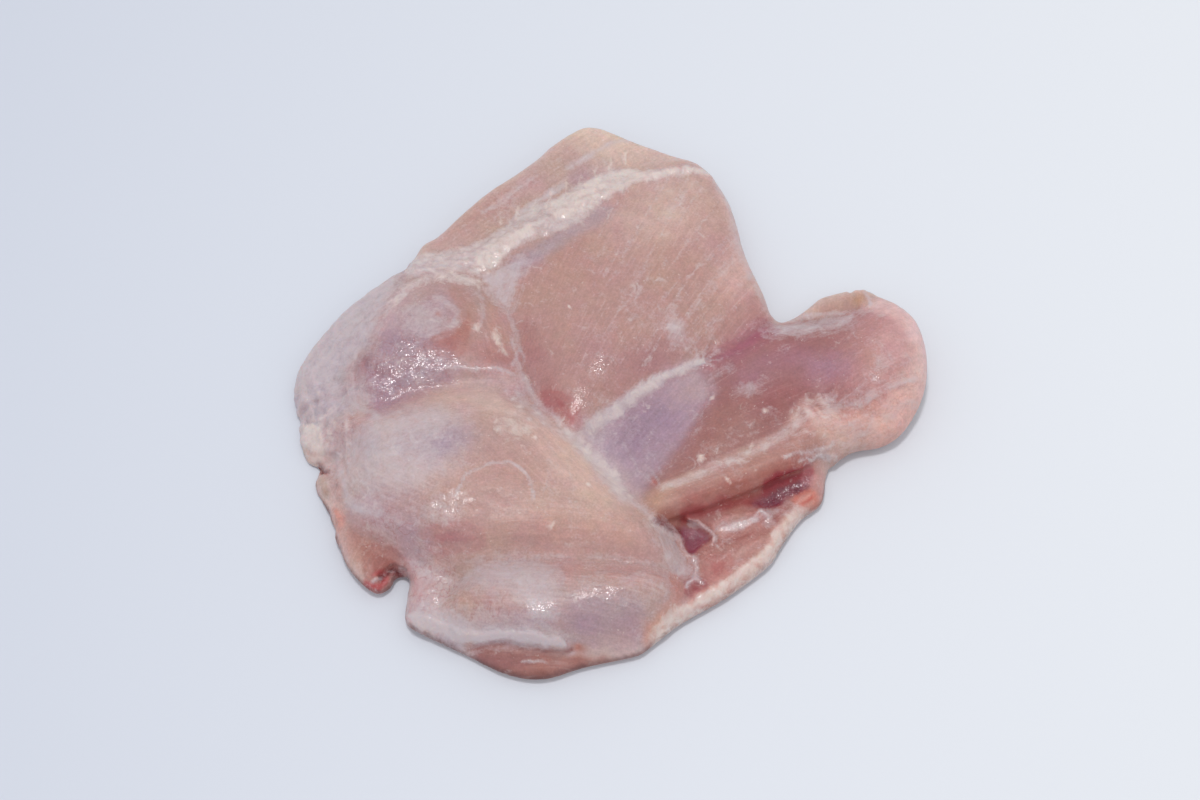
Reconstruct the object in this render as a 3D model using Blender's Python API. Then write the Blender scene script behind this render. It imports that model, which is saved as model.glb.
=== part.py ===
"""A raw boneless chicken thigh, skinned and opened flat, as one solid lying on its smooth side.

The thigh is a thin slab of membrane and fat that carries about a dozen muscles. Each muscle is a low
dome over its own outline, fat and tendons are ridges along a line, and the slab's rim is rounded down
to the table. Plan sizes and heights are in millimetres; the mesh is in metres, +Z up, with the origin
under the middle of the thigh.
"""

import bmesh
import bpy
import numpy as np

MM = 0.001

# Driving sizes, in millimetres
LENGTH = 142.0             # across, from the torn left edge to the thick right end
SHEET = 3.5                # the membranes and fat between the muscles
SLAB = 12.0                # height of the first plain slab, before it takes its form
SLAB_VOXEL = 1.4
FORM_VOXEL = 1.3
RIDGE_BLEND = 1.5          # rounding at the foot of a ridge
EXACT_BELOW = 1.5          # depth inside a muscle below which the plain distance is used
SLOPE_OUTSIDE = 1.6        # how steeply a muscle's flank runs out past its outline
RIM_RISE = 1.9             # how steeply the rim rises from the thigh's outline
RIM_FULLNESS = 0.42        # how much more steeply it does where the rim is thick
RIM_CURVE = 0.05           # how soon the rim stops holding the muscles down
RIM_BLEND = 3.0            # rounding where a muscle meets the rim
TRIANGLES = 11000

# The outline in stretches, clockwise from the far point: x, y and the radius of the rounded rim
OUTLINE = {
    "far shoulder": [(-1, 72.9, 3.8), (10.4, 67.9, 3.8), (21, 63.7, 3.8), (25.6, 60, 3.8)],
    "side of the fan": [(29.4, 54, 4.2), (31.7, 46.3, 4.2), (33.4, 37.3, 4.2), (37.2, 28, 4.2), (38.9, 22.6, 3.5)],
    "notch": [(41, 20.9, 3), (44, 22.2, 3), (47, 24, 3)],
    "bumps behind the right lobe": [(50, 26.8, 2.5), (53.5, 28, 2.5), (58.5, 29.4, 2.5), (62.8, 28.4, 2.5)],
    "right end": [(68.6, 22.6, 5), (72.2, 16.8, 6), (73.4, 9, 6), (72, 0.5, 5.5), (67.6, -7.2, 4.5), (62.6, -10.8, 4)],
    "under the roll": [(56, -12.2, 4), (51.6, -15.4, 3), (49.8, -19, 1.8)],
    "fat edge": [(48.4, -24.4, 1.8), (43.8, -28.2, 1.8), (39.4, -34.6, 2), (36.4, -39.3, 2.2), (27.2, -46.6, 2.2),
                 (17, -52.9, 2.2), (10.5, -58.2, 2), (7.5, -60, 2)],
    "under muscle": [(-3, -62.4, 2), (-12, -65.2, 2.2), (-20, -64, 2.2), (-29, -59.4, 1.8), (-39, -54.3, 1.8)],
    "near corner": [(-41.7, -51.5, 1.8), (-41, -42.8, 2), (-42.2, -41.6, 1.5), (-44.4, -41.8, 1.5)],
    "small lobe": [(-45, -44, 1.8), (-48.5, -45.6, 2.5), (-54.2, -40.2, 3), (-57.6, -32, 2), (-59.4, -26, 1.2)],
    "torn edge": [(-62.6, -20.6, 1), (-62.3, -16, 1), (-60.7, -15.2, 0.8), (-64.7, -13.8, 0.8),
                  (-66.3, -9.5, 1), (-67.2, -4, 1.2)],
    "left apron": [(-68.6, 1.5, 2), (-68.1, 8, 2.5), (-62.5, 18, 3), (-55.2, 26.5, 3), (-47.8, 32.6, 3),
                   (-44, 35, 3)],
    "upper strip": [(-41.2, 40.6, 3), (-37, 43.5, 3.3), (-28, 53, 3.8), (-17.5, 62, 3.8), (-7.6, 70.9, 3.8)],
}

# Each muscle: height at its outline, height at its crown, fullness, rounding where it meets others, outline.
# A fullness of 0.5 gives it a round flank, 1 a flank that slopes, and more a flank that rises slowly.
MUSCLES = {
    "fan": (8.0, 12.3, 1.0, 3.0,
        [(-28, 29), (-20, 36.5), (-8, 44), (5, 50), (15, 55), (24, 57), (29.5, 50), (32, 40), (35.5, 30),
         (38.5, 21), (33, 14.5), (22.5, 8.5), (7, 0), (-6.5, -9.8), (-15.5, 2), (-22.5, 23)]),
    "upper_strip": (6.0, 8.4, 1.0, 2.0,
        [(-42, 35), (-30, 38.5), (-20, 45), (-8, 52), (4, 58), (16, 62.5), (26, 61.5), (8, 77), (-12, 77),
         (-38, 52)]),
    "knee": (9.0, 13.2, 1.0, 4.0,
        [(-46, 26), (-40, 29.5), (-33, 29.5), (-28, 27), (-20.5, 18), (-17.5, 8), (-15.5, 1), (-18, -1.5),
         (-26, -0.5), (-34, -0.5), (-42, -2.5), (-49, -5), (-55, -2), (-55.5, 9), (-52, 19)]),
    "apron": (4.5, 8.0, 0.9, 5.0,
        [(-43, 34), (-52, 32), (-64, 21), (-71, 7), (-69, -4), (-66, -9), (-60, -9), (-54, -4), (-50, 6),
         (-49, 15), (-44, 27)]),
    "round": (8.6, 17.5, 0.85, 4.0,
        [(-58, -7), (-49, -4.5), (-41, -1.5), (-33, 0), (-24, 0), (-18, -2), (-14, -5), (1, -21), (9, -29),
         (14, -36), (12, -41.5), (-16, -41), (-27, -42.5), (-33, -40.5), (-50, -32), (-58, -25), (-61, -14)]),
    "near_roll": (8.0, 14.0, 0.7, 3.5,
        [(-31, -50), (-28, -44.5), (-20, -41.5), (-8, -41), (4, -42), (13, -43), (16, -48), (13, -54),
         (8.5, -59.5), (-3, -61), (-20, -58.5), (-29, -56)]),
    "under": (3.0, 5.5, 0.7, 1.0,
        [(-40, -54.5), (-28, -58.7), (-10, -60), (9, -61), (-3, -65), (-12, -68), (-26, -63)]),
    "small_lobe": (3.5, 6.5, 0.7, 1.5,
        [(-58, -30), (-57, -38), (-52, -44.5), (-48, -47), (-43.5, -44), (-42, -39), (-50, -33)]),
    "right_lobe": (7.6, 11.0, 1.0, 3.5,
        [(23, 8), (30, 12.5), (37, 17), (56, 19), (64, 23), (72, 21), (76, 10), (72, 0), (60, -8),
         (50, -5), (43, -9), (33, -17), (12, -24.5), (20, -11), (25, 0)]),
    "right_end": (7.0, 15.0, 1.5, 6.0,
        [(53, 16), (60, 23), (67, 25), (75, 20), (78, 9), (75, -3), (67, -11), (57, -10), (50, -4), (48, 6)]),
    "roll": (8.0, 12.6, 0.7, 1.6,
        [(10, -26), (20, -22), (32, -17.5), (40, -12), (45, -5), (52, -4), (60, -5), (66, -9), (56, -13.5),
         (50, -17), (36, -22.8), (20, -29.5), (12, -31.5)]),
    "back_bumps": (3.5, 6.2, 0.7, 1.0,
        [(45, 21), (49, 28), (53, 31), (56, 29), (59, 32), (64, 29), (64, 22), (56, 20)]),
    "pocket": (4.0, 5.5, 0.9, 1.2,
        [(14, -33), (22, -30), (36, -25), (46, -20), (51, -19), (50, -25), (42, -31), (37, -40), (20, -50),
         (11, -58), (13, -46)]),
    "bone_bed": (6.3, 7.2, 1.0, 4.0,
        [(-5, -9), (3, -3), (13, 4), (22, 8), (26, 3), (24, -5), (18, -16), (12, -25), (9, -28.5),
         (-2, -16)]),
    "near_corner": (4.0, 6.5, 0.8, 2.5,
        [(-44, -38), (-43, -53), (-30, -58), (-27, -50), (-34, -38)]),
}

# Fat and tendons: half the width, height of the crest, line along it
RIDGES = {
    "fat_strip": (4.2, 9.3, [(-45, 31), (-36, 31), (-28, 33.5), (-20, 39), (-11, 45.5), (-3, 50), (5, 54),
                             (13, 57), (20, 59.3), (26.5, 59)]),
    "tendon": (1.6, 8.5, [(3, -4.5), (9, 1), (16, 5), (22.5, 8)]),
    "roll_tendon": (1.8, 10.7, [(11, -25.5), (20, -21.8), (28, -18.8), (34, -16), (40, -12), (43.5, -7), (48, -3)]),
    "fat_edge": (2.6, 6.3, [(48, -21), (45, -26), (40, -31.5), (36.5, -37.5), (31, -42.5), (22, -48.3), (10.5, -57)]),
}
RIDGE_DROP = 2.2           # how far a ridge's crest stands above its sides


def clear_scene():
    """Remove whatever the file holds."""
    for thing in list(bpy.data.objects):
        bpy.data.objects.remove(thing, do_unlink=True)


def smooth_line(points, closed, steps=6):
    """A Catmull-Rom curve through points, with its further columns carried along."""
    p = np.array(points, float)
    if closed:
        before, start, end, after = (np.roll(p, k, 0) for k in (1, 0, -1, -2))
    else:
        p = np.vstack([2 * p[0] - p[1], p, 2 * p[-1] - p[-2]])
        before, start, end, after = p[:-3], p[1:-2], p[2:-1], p[3:]
    t = (np.arange(steps) / steps)[None, :, None]
    a, b, c, d = (q[:, None, :] for q in (before, start, end, after))
    curve = 0.5 * (2 * b + (c - a) * t + (2 * a - 5 * b + 4 * c - d) * t**2 + (3 * b - a - 3 * c + d) * t**3)
    curve = curve.reshape(-1, p.shape[1])
    return curve if closed else np.vstack([curve, p[-2]])


def distance(xy, line, closed):
    """Distance from each point to a line, and where along the line it is nearest."""
    start = line[:, :2] if closed else line[:-1, :2]
    end = np.roll(line, -1, 0)[:, :2] if closed else line[1:, :2]
    best = np.full(len(xy), np.inf)
    place = np.zeros(len(xy))
    for i, (a, b) in enumerate(zip(start, end)):
        run = b - a
        t = np.clip((xy - a) @ run / max(run @ run, 1e-12), 0, 1)
        gap = np.hypot(*(xy - a - t[:, None] * run).T)
        closer = gap < best
        best[closer] = gap[closer]
        place[closer] = i + t[closer]
    return best, place


def depth(xy, line):
    """Distance inside a closed line, negative outside it, and the nearest place on it."""
    away, place = distance(xy, line, True)
    inside = np.zeros(len(xy), bool)
    x, y = xy.T
    for (x0, y0), (x1, y1) in zip(line[:, :2], np.roll(line, -1, 0)[:, :2]):
        crosses = (y0 > y) != (y1 > y)
        inside ^= crosses & (x < (x1 - x0) * (y - y0) / (y1 - y0 + 1e-12) + x0)
    return np.where(inside, away, -away), place


def higher(a, b, blend):
    """The larger of two heights, with the crease between them rounded."""
    near = np.maximum(blend - np.abs(a - b), 0) / blend
    return np.maximum(a, b) + near * near * blend / 4


def lower(a, b, blend):
    """The smaller of two heights, with the edge between them rounded."""
    return -higher(-a, -b, blend)


def shoulder(t):
    """A quarter round: steep at 0, level at 1."""
    return np.sqrt(1 - (1 - np.clip(t, 0, 1))**2)


def rounded_depth(xy, line, inside):
    """Depth inside a closed line without the crease that the plain distance has along the middle.

    Every stretch of the line counts by the inverse fourth power of its distance, which near one straight
    edge adds up to the distance itself.
    """
    run = np.hypot(*(np.roll(line, -1, 0) - np.roll(line, 1, 0)).T) / 2
    deep = inside > EXACT_BELOW
    pull = np.zeros(deep.sum())
    for (x, y), length in zip(line, run):
        pull += length / ((xy[deep, 0] - x)**2 + (xy[deep, 1] - y)**2)**2
    soft = inside.copy()
    soft[deep] = (pull / (np.pi / 2))**(-1 / 3)
    share = np.clip(inside / EXACT_BELOW - 1, 0, 1)
    return inside + (soft - inside) * share


def muscle_height(xy, rim, crown, fullness, points):
    """A low dome: round at its flank and level at its crown."""
    line = smooth_line(points, True, 12)
    inside, _ = depth(xy, line)
    soft = rounded_depth(xy, line, inside)
    share = np.maximum(soft, 0) / soft.max()
    dome = (1 - (1 - share)**2)**fullness
    return np.where(inside > 0, rim + (crown - rim) * dome, rim + SLOPE_OUTSIDE * inside)


def ridge_height(xy, half_width, crest, points):
    """A rounded ridge along a line."""
    away, _ = distance(xy, smooth_line(points, False), False)
    return np.where(away < 1.5 * half_width, crest - RIDGE_DROP * (away / half_width)**2, 0)


def heights(xy, outline):
    """The thigh's upper and under surface over each point of its plan, in millimetres."""
    z = np.full(len(xy), SHEET)
    for rim, crown, fullness, rounding, points in MUSCLES.values():
        z = higher(z, muscle_height(xy, rim, crown, fullness, points), rounding)
    for half_width, crest, points in RIDGES.values():
        z = higher(z, ridge_height(xy, half_width, crest, points), RIDGE_BLEND)
    inside, place = depth(xy, outline)
    inside = np.maximum(inside, 0)
    radii = np.append(outline[:, 2], outline[0, 2])
    radius = np.interp(place, np.arange(len(radii)), radii)
    edge = radius + (RIM_RISE + RIM_FULLNESS * radius) * np.sqrt(inside) + RIM_CURVE * inside**2
    under = radius * (1 - shoulder(inside / radius))
    return lower(z, edge, RIM_BLEND), 0.9 * under


def slab(outline):
    """The plan as a plain slab with upright sides."""
    bm = bmesh.new()
    floor = bm.faces.new([bm.verts.new((x * MM, y * MM, 0)) for x, y in outline[:, :2]])
    floor.normal_update()
    if floor.normal.z > 0:
        floor.normal_flip()
    wall = bmesh.ops.extrude_face_region(bm, geom=[floor], use_keep_orig=True)
    roof = [v for v in wall["geom"] if isinstance(v, bmesh.types.BMVert)]
    bmesh.ops.translate(bm, verts=roof, vec=(0, 0, SLAB * MM))
    bmesh.ops.recalc_face_normals(bm, faces=bm.faces)
    mesh = bpy.data.meshes.new("chicken_thigh")
    bm.to_mesh(mesh)
    bm.free()
    thigh = bpy.data.objects.new("chicken_thigh", mesh)
    bpy.context.scene.collection.objects.link(thigh)
    return thigh


def bake(thigh):
    """Turn the object's modifiers into its mesh."""
    evaluated = thigh.evaluated_get(bpy.context.evaluated_depsgraph_get())
    mesh = bpy.data.meshes.new_from_object(evaluated)
    thigh.modifiers.clear()
    thigh.data = mesh


def remesh(thigh, voxel):
    """Even out the mesh with cubes of one size."""
    even = thigh.modifiers.new("Even mesh", "REMESH")
    even.mode = "VOXEL"
    even.voxel_size = voxel * MM
    bake(thigh)


def read_points(mesh):
    """The mesh's points in millimetres."""
    points = np.empty(len(mesh.vertices) * 3)
    mesh.vertices.foreach_get("co", points)
    return points.reshape(-1, 3) / MM


def write_points(mesh, points):
    """Move the mesh's points, given in millimetres."""
    mesh.vertices.foreach_set("co", (points * MM).ravel())
    mesh.update()


def give_form(thigh, outline):
    """Fit the slab's floor and roof to the thigh's under and upper surface."""
    points = read_points(thigh.data)
    share = np.clip(points[:, 2] / SLAB, 0, 1)
    top, under = heights(points[:, :2], outline)
    points[:, 2] = under + share * (np.maximum(top, under + 0.8) - under)
    write_points(thigh.data, points)


def finish_mesh(thigh):
    """Smooth the steps, flatten the side it lies on, thin the mesh and centre it."""
    smooth = thigh.modifiers.new("Soften", "SMOOTH")
    smooth.factor = 0.5
    smooth.iterations = 4
    bake(thigh)
    points = read_points(thigh.data)
    points[points[:, 2] < 0.35, 2] = 0
    write_points(thigh.data, points)
    thin = thigh.modifiers.new("Thin", "DECIMATE")
    faces = sum(len(face.vertices) - 2 for face in thigh.data.polygons)
    thin.ratio = TRIANGLES / faces
    bake(thigh)
    points = read_points(thigh.data)
    points[points[:, 2] < 0.05, 2] = 0
    middle = (points.min(0) + points.max(0)) / 2
    points[:, :2] -= middle[:2]
    write_points(thigh.data, points)


def raw_chicken():
    """Raw thigh meat: pinkish tan and moist."""
    material = bpy.data.materials.new("raw_chicken")
    material.use_nodes = True
    shader = material.node_tree.nodes["Principled BSDF"]
    shader.inputs["Base Color"].default_value = (0.50, 0.30, 0.26, 1)
    shader.inputs["Roughness"].default_value = 0.35
    shader.inputs["Metallic"].default_value = 0
    return material


def chicken_thigh():
    """The whole thigh as one closed solid."""
    outline = smooth_line([point for stretch in OUTLINE.values() for point in stretch], True)
    outline[:, :2] *= LENGTH / np.ptp(outline[:, 0])
    thigh = slab(outline)
    remesh(thigh, SLAB_VOXEL)
    give_form(thigh, outline)
    remesh(thigh, FORM_VOXEL)
    finish_mesh(thigh)
    thigh.data.shade_smooth()
    thigh.data.materials.clear()
    thigh.data.materials.append(raw_chicken())
    return thigh


clear_scene()
chicken_thigh()
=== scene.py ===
# %% [markdown]
# # A raw chicken thigh
# The object is a boneless, skinless chicken thigh that was opened flat and laid on its smooth side.
# What shows is the side that held the bone: about a dozen muscles, each in its own thin membrane,
# strips of fat, white tendons, and a pale lavender bed where the bone lay. The first cell loads the
# plain solid of the part, which fixes where everything goes.

# %% Load the frame
import math

import bpy
import numpy as np
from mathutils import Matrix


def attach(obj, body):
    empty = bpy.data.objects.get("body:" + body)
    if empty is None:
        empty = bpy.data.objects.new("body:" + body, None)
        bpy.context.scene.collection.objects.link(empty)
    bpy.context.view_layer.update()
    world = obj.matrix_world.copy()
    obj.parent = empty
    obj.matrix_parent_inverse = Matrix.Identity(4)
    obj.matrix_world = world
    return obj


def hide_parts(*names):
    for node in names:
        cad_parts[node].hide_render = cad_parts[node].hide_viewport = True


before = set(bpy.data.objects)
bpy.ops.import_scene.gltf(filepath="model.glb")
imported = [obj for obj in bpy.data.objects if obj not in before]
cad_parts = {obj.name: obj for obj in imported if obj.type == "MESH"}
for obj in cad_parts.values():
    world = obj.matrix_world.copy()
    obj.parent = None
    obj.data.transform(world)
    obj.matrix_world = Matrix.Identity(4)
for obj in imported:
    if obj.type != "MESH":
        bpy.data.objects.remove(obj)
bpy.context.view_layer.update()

NODE = "chicken_thigh"
MM = 0.001

# %% [markdown]
# ## Small helpers
# Colours are written as the hex values that a colour picker shows. Blender calculates with linear
# light, so one function converts them. Another adds a node with its settings and links in one go.

# %% Colours and nodes


def srgb(hex_colour):
    """A hex colour as three numbers from 0 to 1."""
    return np.array([int(hex_colour[i:i + 2], 16) / 255 for i in (1, 3, 5)])


def linear(colour):
    """Turn sRGB numbers into linear light."""
    return np.where(colour <= 0.04045, colour / 12.92, ((colour + 0.055) / 1.055)**2.4)


def rgba(hex_colour):
    """A hex colour as a node socket wants it."""
    return (*linear(srgb(hex_colour)), 1.0)


def add_node(tree, kind, links=None, **settings):
    """Add a node, set its properties and sockets, and link its inputs."""
    made = tree.nodes.new(kind)
    for name, value in settings.items():
        if hasattr(made, name):
            setattr(made, name, value)
        else:
            made.inputs[name.replace("_", " ")].default_value = value
    for socket, source in (links or {}).items():
        tree.links.new(source, made.inputs[socket])
    return made


def new_material(name):
    """An empty node material and its Principled shader."""
    material = bpy.data.materials.new(name)
    material.use_nodes = True
    return material, material.node_tree, material.node_tree.nodes["Principled BSDF"]


# %% [markdown]
# ## Where the muscles lie
# The thigh is laid out in plan, in millimetres, as one would draw it on squared paper: an outline in
# stretches, a closed line for each muscle, and open lines for fat and tendons. The heights beside them
# are the same that the solid was made from, so the fine surface keeps the solid's form. A Catmull-Rom
# curve runs through each list of points, so few points give smooth lines.

# %% The plan, in millimetres
LENGTH = 142.0

# The outline in stretches, clockwise from the far point: x, y and the radius of the rounded rim
OUTLINE = {
    "far shoulder": [(-1, 72.9, 3.8), (10.4, 67.9, 3.8), (21, 63.7, 3.8), (25.6, 60, 3.8)],
    "side of the fan": [(29.4, 54, 4.2), (31.7, 46.3, 4.2), (33.4, 37.3, 4.2), (37.2, 28, 4.2),
                        (38.9, 22.6, 3.5)],
    "notch": [(41, 20.9, 3), (44, 22.2, 3), (47, 24, 3)],
    "bumps behind the right lobe": [(50, 26.8, 2.5), (53.5, 28, 2.5), (58.5, 29.4, 2.5),
                                    (62.8, 28.4, 2.5)],
    "right end": [(68.6, 22.6, 5), (72.2, 16.8, 6), (73.4, 9, 6), (72, 0.5, 5.5), (67.6, -7.2, 4.5),
                  (62.6, -10.8, 4)],
    "under the roll": [(56, -12.2, 4), (51.6, -15.4, 3), (49.8, -19, 1.8)],
    "fat edge": [(48.4, -24.4, 1.8), (43.8, -28.2, 1.8), (39.4, -34.6, 2), (36.4, -39.3, 2.2),
                 (27.2, -46.6, 2.2), (17, -52.9, 2.2), (10.5, -58.2, 2), (7.5, -60, 2)],
    "under muscle": [(-3, -62.4, 2), (-12, -65.2, 2.2), (-20, -64, 2.2), (-29, -59.4, 1.8),
                     (-39, -54.3, 1.8)],
    "near corner": [(-41.7, -51.5, 1.8), (-41, -42.8, 2), (-42.2, -41.6, 1.5), (-44.4, -41.8, 1.5)],
    "small lobe": [(-45, -44, 1.8), (-48.5, -45.6, 2.5), (-54.2, -40.2, 3), (-57.6, -32, 2),
                   (-59.4, -26, 1.2)],
    "torn edge": [(-62.6, -20.6, 1), (-62.3, -16, 1), (-60.7, -15.2, 0.8), (-64.7, -13.8, 0.8),
                  (-66.3, -9.5, 1), (-67.2, -4, 1.2)],
    "left apron": [(-68.6, 1.5, 2), (-68.1, 8, 2.5), (-62.5, 18, 3), (-55.2, 26.5, 3), (-47.8, 32.6, 3),
                   (-44, 35, 3)],
    "upper strip": [(-41.2, 40.6, 3), (-37, 43.5, 3.3), (-28, 53, 3.8), (-17.5, 62, 3.8),
                    (-7.6, 70.9, 3.8)],
}

# Each muscle: height at its outline, height at its crown, fullness, rounding where it meets others, and
# outline. A fullness of 0.5 gives it a round flank, 1 a flank that slopes, and more one that rises slowly.
MUSCLES = {
    "fan": (8.0, 12.3, 1.0, 3.0,
        [(-28, 29), (-20, 36.5), (-8, 44), (5, 50), (15, 55), (24, 57), (29.5, 50), (32, 40), (35.5, 30),
         (38.5, 21), (33, 14.5), (22.5, 8.5), (7, 0), (-6.5, -9.8), (-15.5, 2), (-22.5, 23)]),
    "upper_strip": (6.0, 8.4, 1.0, 2.0,
        [(-42, 35), (-30, 38.5), (-20, 45), (-8, 52), (4, 58), (16, 62.5), (26, 61.5), (8, 77), (-12, 77),
         (-38, 52)]),
    "knee": (9.0, 13.2, 1.0, 4.0,
        [(-46, 26), (-40, 29.5), (-33, 29.5), (-28, 27), (-20.5, 18), (-17.5, 8), (-15.5, 1), (-18, -1.5),
         (-26, -0.5), (-34, -0.5), (-42, -2.5), (-49, -5), (-55, -2), (-55.5, 9), (-52, 19)]),
    "apron": (4.5, 8.0, 0.9, 5.0,
        [(-43, 34), (-52, 32), (-64, 21), (-71, 7), (-69, -4), (-66, -9), (-60, -9), (-54, -4), (-50, 6),
         (-49, 15), (-44, 27)]),
    "round": (8.6, 17.5, 0.85, 4.0,
        [(-58, -7), (-49, -4.5), (-41, -1.5), (-33, 0), (-24, 0), (-18, -2), (-14, -5), (1, -21),
         (9, -29), (14, -36), (12, -41.5), (-16, -41), (-27, -42.5), (-33, -40.5), (-50, -32),
         (-58, -25), (-61, -14)]),
    "near_roll": (8.0, 14.0, 0.7, 3.5,
        [(-31, -50), (-28, -44.5), (-20, -41.5), (-8, -41), (4, -42), (13, -43), (16, -48), (13, -54),
         (8.5, -59.5), (-3, -61), (-20, -58.5), (-29, -56)]),
    "under": (3.0, 5.5, 0.7, 1.0,
        [(-40, -54.5), (-28, -58.7), (-10, -60), (9, -61), (-3, -65), (-12, -68), (-26, -63)]),
    "small_lobe": (3.5, 6.5, 0.7, 1.5,
        [(-58, -30), (-57, -38), (-52, -44.5), (-48, -47), (-43.5, -44), (-42, -39), (-50, -33)]),
    "right_lobe": (7.6, 11.0, 1.0, 3.5,
        [(23, 8), (30, 12.5), (37, 17), (56, 19), (64, 23), (72, 21), (76, 10), (72, 0), (60, -8),
         (50, -5), (43, -9), (33, -17), (12, -24.5), (20, -11), (25, 0)]),
    "right_end": (7.0, 15.0, 1.5, 6.0,
        [(53, 16), (60, 23), (67, 25), (75, 20), (78, 9), (75, -3), (67, -11), (57, -10),
         (50, -4), (48, 6)]),
    "roll": (8.0, 12.6, 0.7, 1.6,
        [(10, -26), (20, -22), (32, -17.5), (40, -12), (45, -5), (52, -4), (60, -5), (66, -9),
         (56, -13.5), (50, -17), (36, -22.8), (20, -29.5), (12, -31.5)]),
    "back_bumps": (3.5, 6.2, 0.7, 1.0,
        [(45, 21), (49, 28), (53, 31), (56, 29), (59, 32), (64, 29), (64, 22), (56, 20)]),
    "pocket": (4.0, 5.5, 0.9, 1.2,
        [(14, -33), (22, -30), (36, -25), (46, -20), (51, -19), (50, -25), (42, -31), (37, -40),
         (20, -50), (11, -58), (13, -46)]),
    "bone_bed": (6.3, 7.2, 1.0, 4.0,
        [(-5, -9), (3, -3), (13, 4), (22, 8), (26, 3), (24, -5), (18, -16), (12, -25), (9, -28.5),
         (-2, -16)]),
    "near_corner": (4.0, 6.5, 0.8, 2.5,
        [(-44, -38), (-43, -53), (-30, -58), (-27, -50), (-34, -38)]),
}

# Fat and tendons: half the width, height of the crest, line along it
RIDGES = {
    "fat_strip": (4.2, 9.3, [(-45, 31), (-36, 31), (-28, 33.5), (-20, 39), (-11, 45.5), (-3, 50), (5, 54),
                             (13, 57), (20, 59.3), (26.5, 59)]),
    "tendon": (1.6, 8.5, [(3, -4.5), (9, 1), (16, 5), (22.5, 8)]),
    "roll_tendon": (1.8, 10.7, [(11, -25.5), (20, -21.8), (28, -18.8), (34, -16), (40, -12), (43.5, -7),
                                (48, -3)]),
    "fat_edge": (2.6, 6.3, [(48, -21), (45, -26), (40, -31.5), (36.5, -37.5), (31, -42.5), (22, -48.3),
                            (10.5, -57)]),
}
print(len(MUSCLES), "muscles and", len(RIDGES), "ridges of fat and tendon")

# %% Curves and distances in the plan


def smooth_line(points, closed, steps=6):
    """A Catmull-Rom curve through points, with its further columns carried along."""
    p = np.array(points, float)
    if closed:
        before, start, end, after = (np.roll(p, k, 0) for k in (1, 0, -1, -2))
    else:
        p = np.vstack([2 * p[0] - p[1], p, 2 * p[-1] - p[-2]])
        before, start, end, after = p[:-3], p[1:-2], p[2:-1], p[3:]
    t = (np.arange(steps) / steps)[None, :, None]
    a, b, c, d = (q[:, None, :] for q in (before, start, end, after))
    curve = 0.5 * (2 * b + (c - a) * t + (2 * a - 5 * b + 4 * c - d) * t**2
                   + (3 * b - a - 3 * c + d) * t**3)
    curve = curve.reshape(-1, p.shape[1])
    return curve if closed else np.vstack([curve, p[-2]])


def distance(xy, line, closed):
    """Distance from each point to a line, and where along the line it is nearest."""
    start = line[:, :2] if closed else line[:-1, :2]
    end = np.roll(line, -1, 0)[:, :2] if closed else line[1:, :2]
    best = np.full(len(xy), np.inf)
    place = np.zeros(len(xy))
    for i, (a, b) in enumerate(zip(start, end)):
        run = b - a
        t = np.clip((xy - a) @ run / max(run @ run, 1e-12), 0, 1)
        gap = np.hypot(*(xy - a - t[:, None] * run).T)
        closer = gap < best
        best[closer] = gap[closer]
        place[closer] = i + t[closer]
    return best, place


def depth(xy, line):
    """Distance inside a closed line, negative outside it, and the nearest place on it."""
    away, place = distance(xy, line, True)
    inside = np.zeros(len(xy), bool)
    x, y = xy.T
    for (x0, y0), (x1, y1) in zip(line[:, :2], np.roll(line, -1, 0)[:, :2]):
        crosses = (y0 > y) != (y1 > y)
        inside ^= crosses & (x < (x1 - x0) * (y - y0) / (y1 - y0 + 1e-12) + x0)
    return np.where(inside, away, -away), place


# %% [markdown]
# ## A sheet of squared paper
# Everything that varies over the thigh, its height, its colour and how wet it is, is worked out once
# on a fine grid of points, and the mesh then reads it where its own points lie. A line or an area
# only touches the squares near it, which keeps this quick. Marks drawn by hand are never quite
# straight, so their distances are measured on a sheet that noise has pushed about a little.

# %% The grid
GRID = 0.4
MARGIN = 4.0
FAR = 9.0

outline = smooth_line([point for stretch in OUTLINE.values() for point in stretch], True)
outline[:, :2] *= LENGTH / np.ptp(outline[:, 0])
plan_low, plan_high = outline[:, :2].min(0), outline[:, :2].max(0)
MIDDLE = (plan_low + plan_high) / 2
grid_x = np.arange(plan_low[0] - MARGIN, plan_high[0] + MARGIN, GRID)
grid_y = np.arange(plan_low[1] - MARGIN, plan_high[1] + MARGIN, GRID)
X, Y = np.meshgrid(grid_x, grid_y, indexing="ij")
print("grid of", X.shape, "squares, middle of the plan at", MIDDLE.round(2))

# %% Noise over the plan


def ease(value, low, high):
    """Rise smoothly from 0 at low to 1 at high."""
    t = np.clip((value - low) / (high - low), 0, 1)
    return t * t * (3 - 2 * t)


def noise(x, y, seed):
    """Soft noise from -1 to 1, with bumps about one unit wide."""
    table = np.random.default_rng(seed).uniform(-1, 1, (64, 64))
    i, j = np.floor(x).astype(int), np.floor(y).astype(int)
    s, t = x - i, y - j
    s, t = s * s * (3 - 2 * s), t * t * (3 - 2 * t)
    i, j, k, l = i % 64, j % 64, (i + 1) % 64, (j + 1) % 64
    return ((table[i, j] * (1 - s) + table[k, j] * s) * (1 - t)
            + (table[i, l] * (1 - s) + table[k, l] * s) * t)


def cloud(size, seed, octaves=3):
    """Noise over the plan with bumps of a size in millimetres, and finer ones on them."""
    total = np.zeros(X.shape)
    for octave in range(octaves):
        scale = 2**octave / size
        turned_x = 0.8 * X + 0.6 * Y
        turned_y = 0.8 * Y - 0.6 * X
        total += noise(turned_x * scale, turned_y * scale, seed + octave) / 2**octave
    return total


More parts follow.
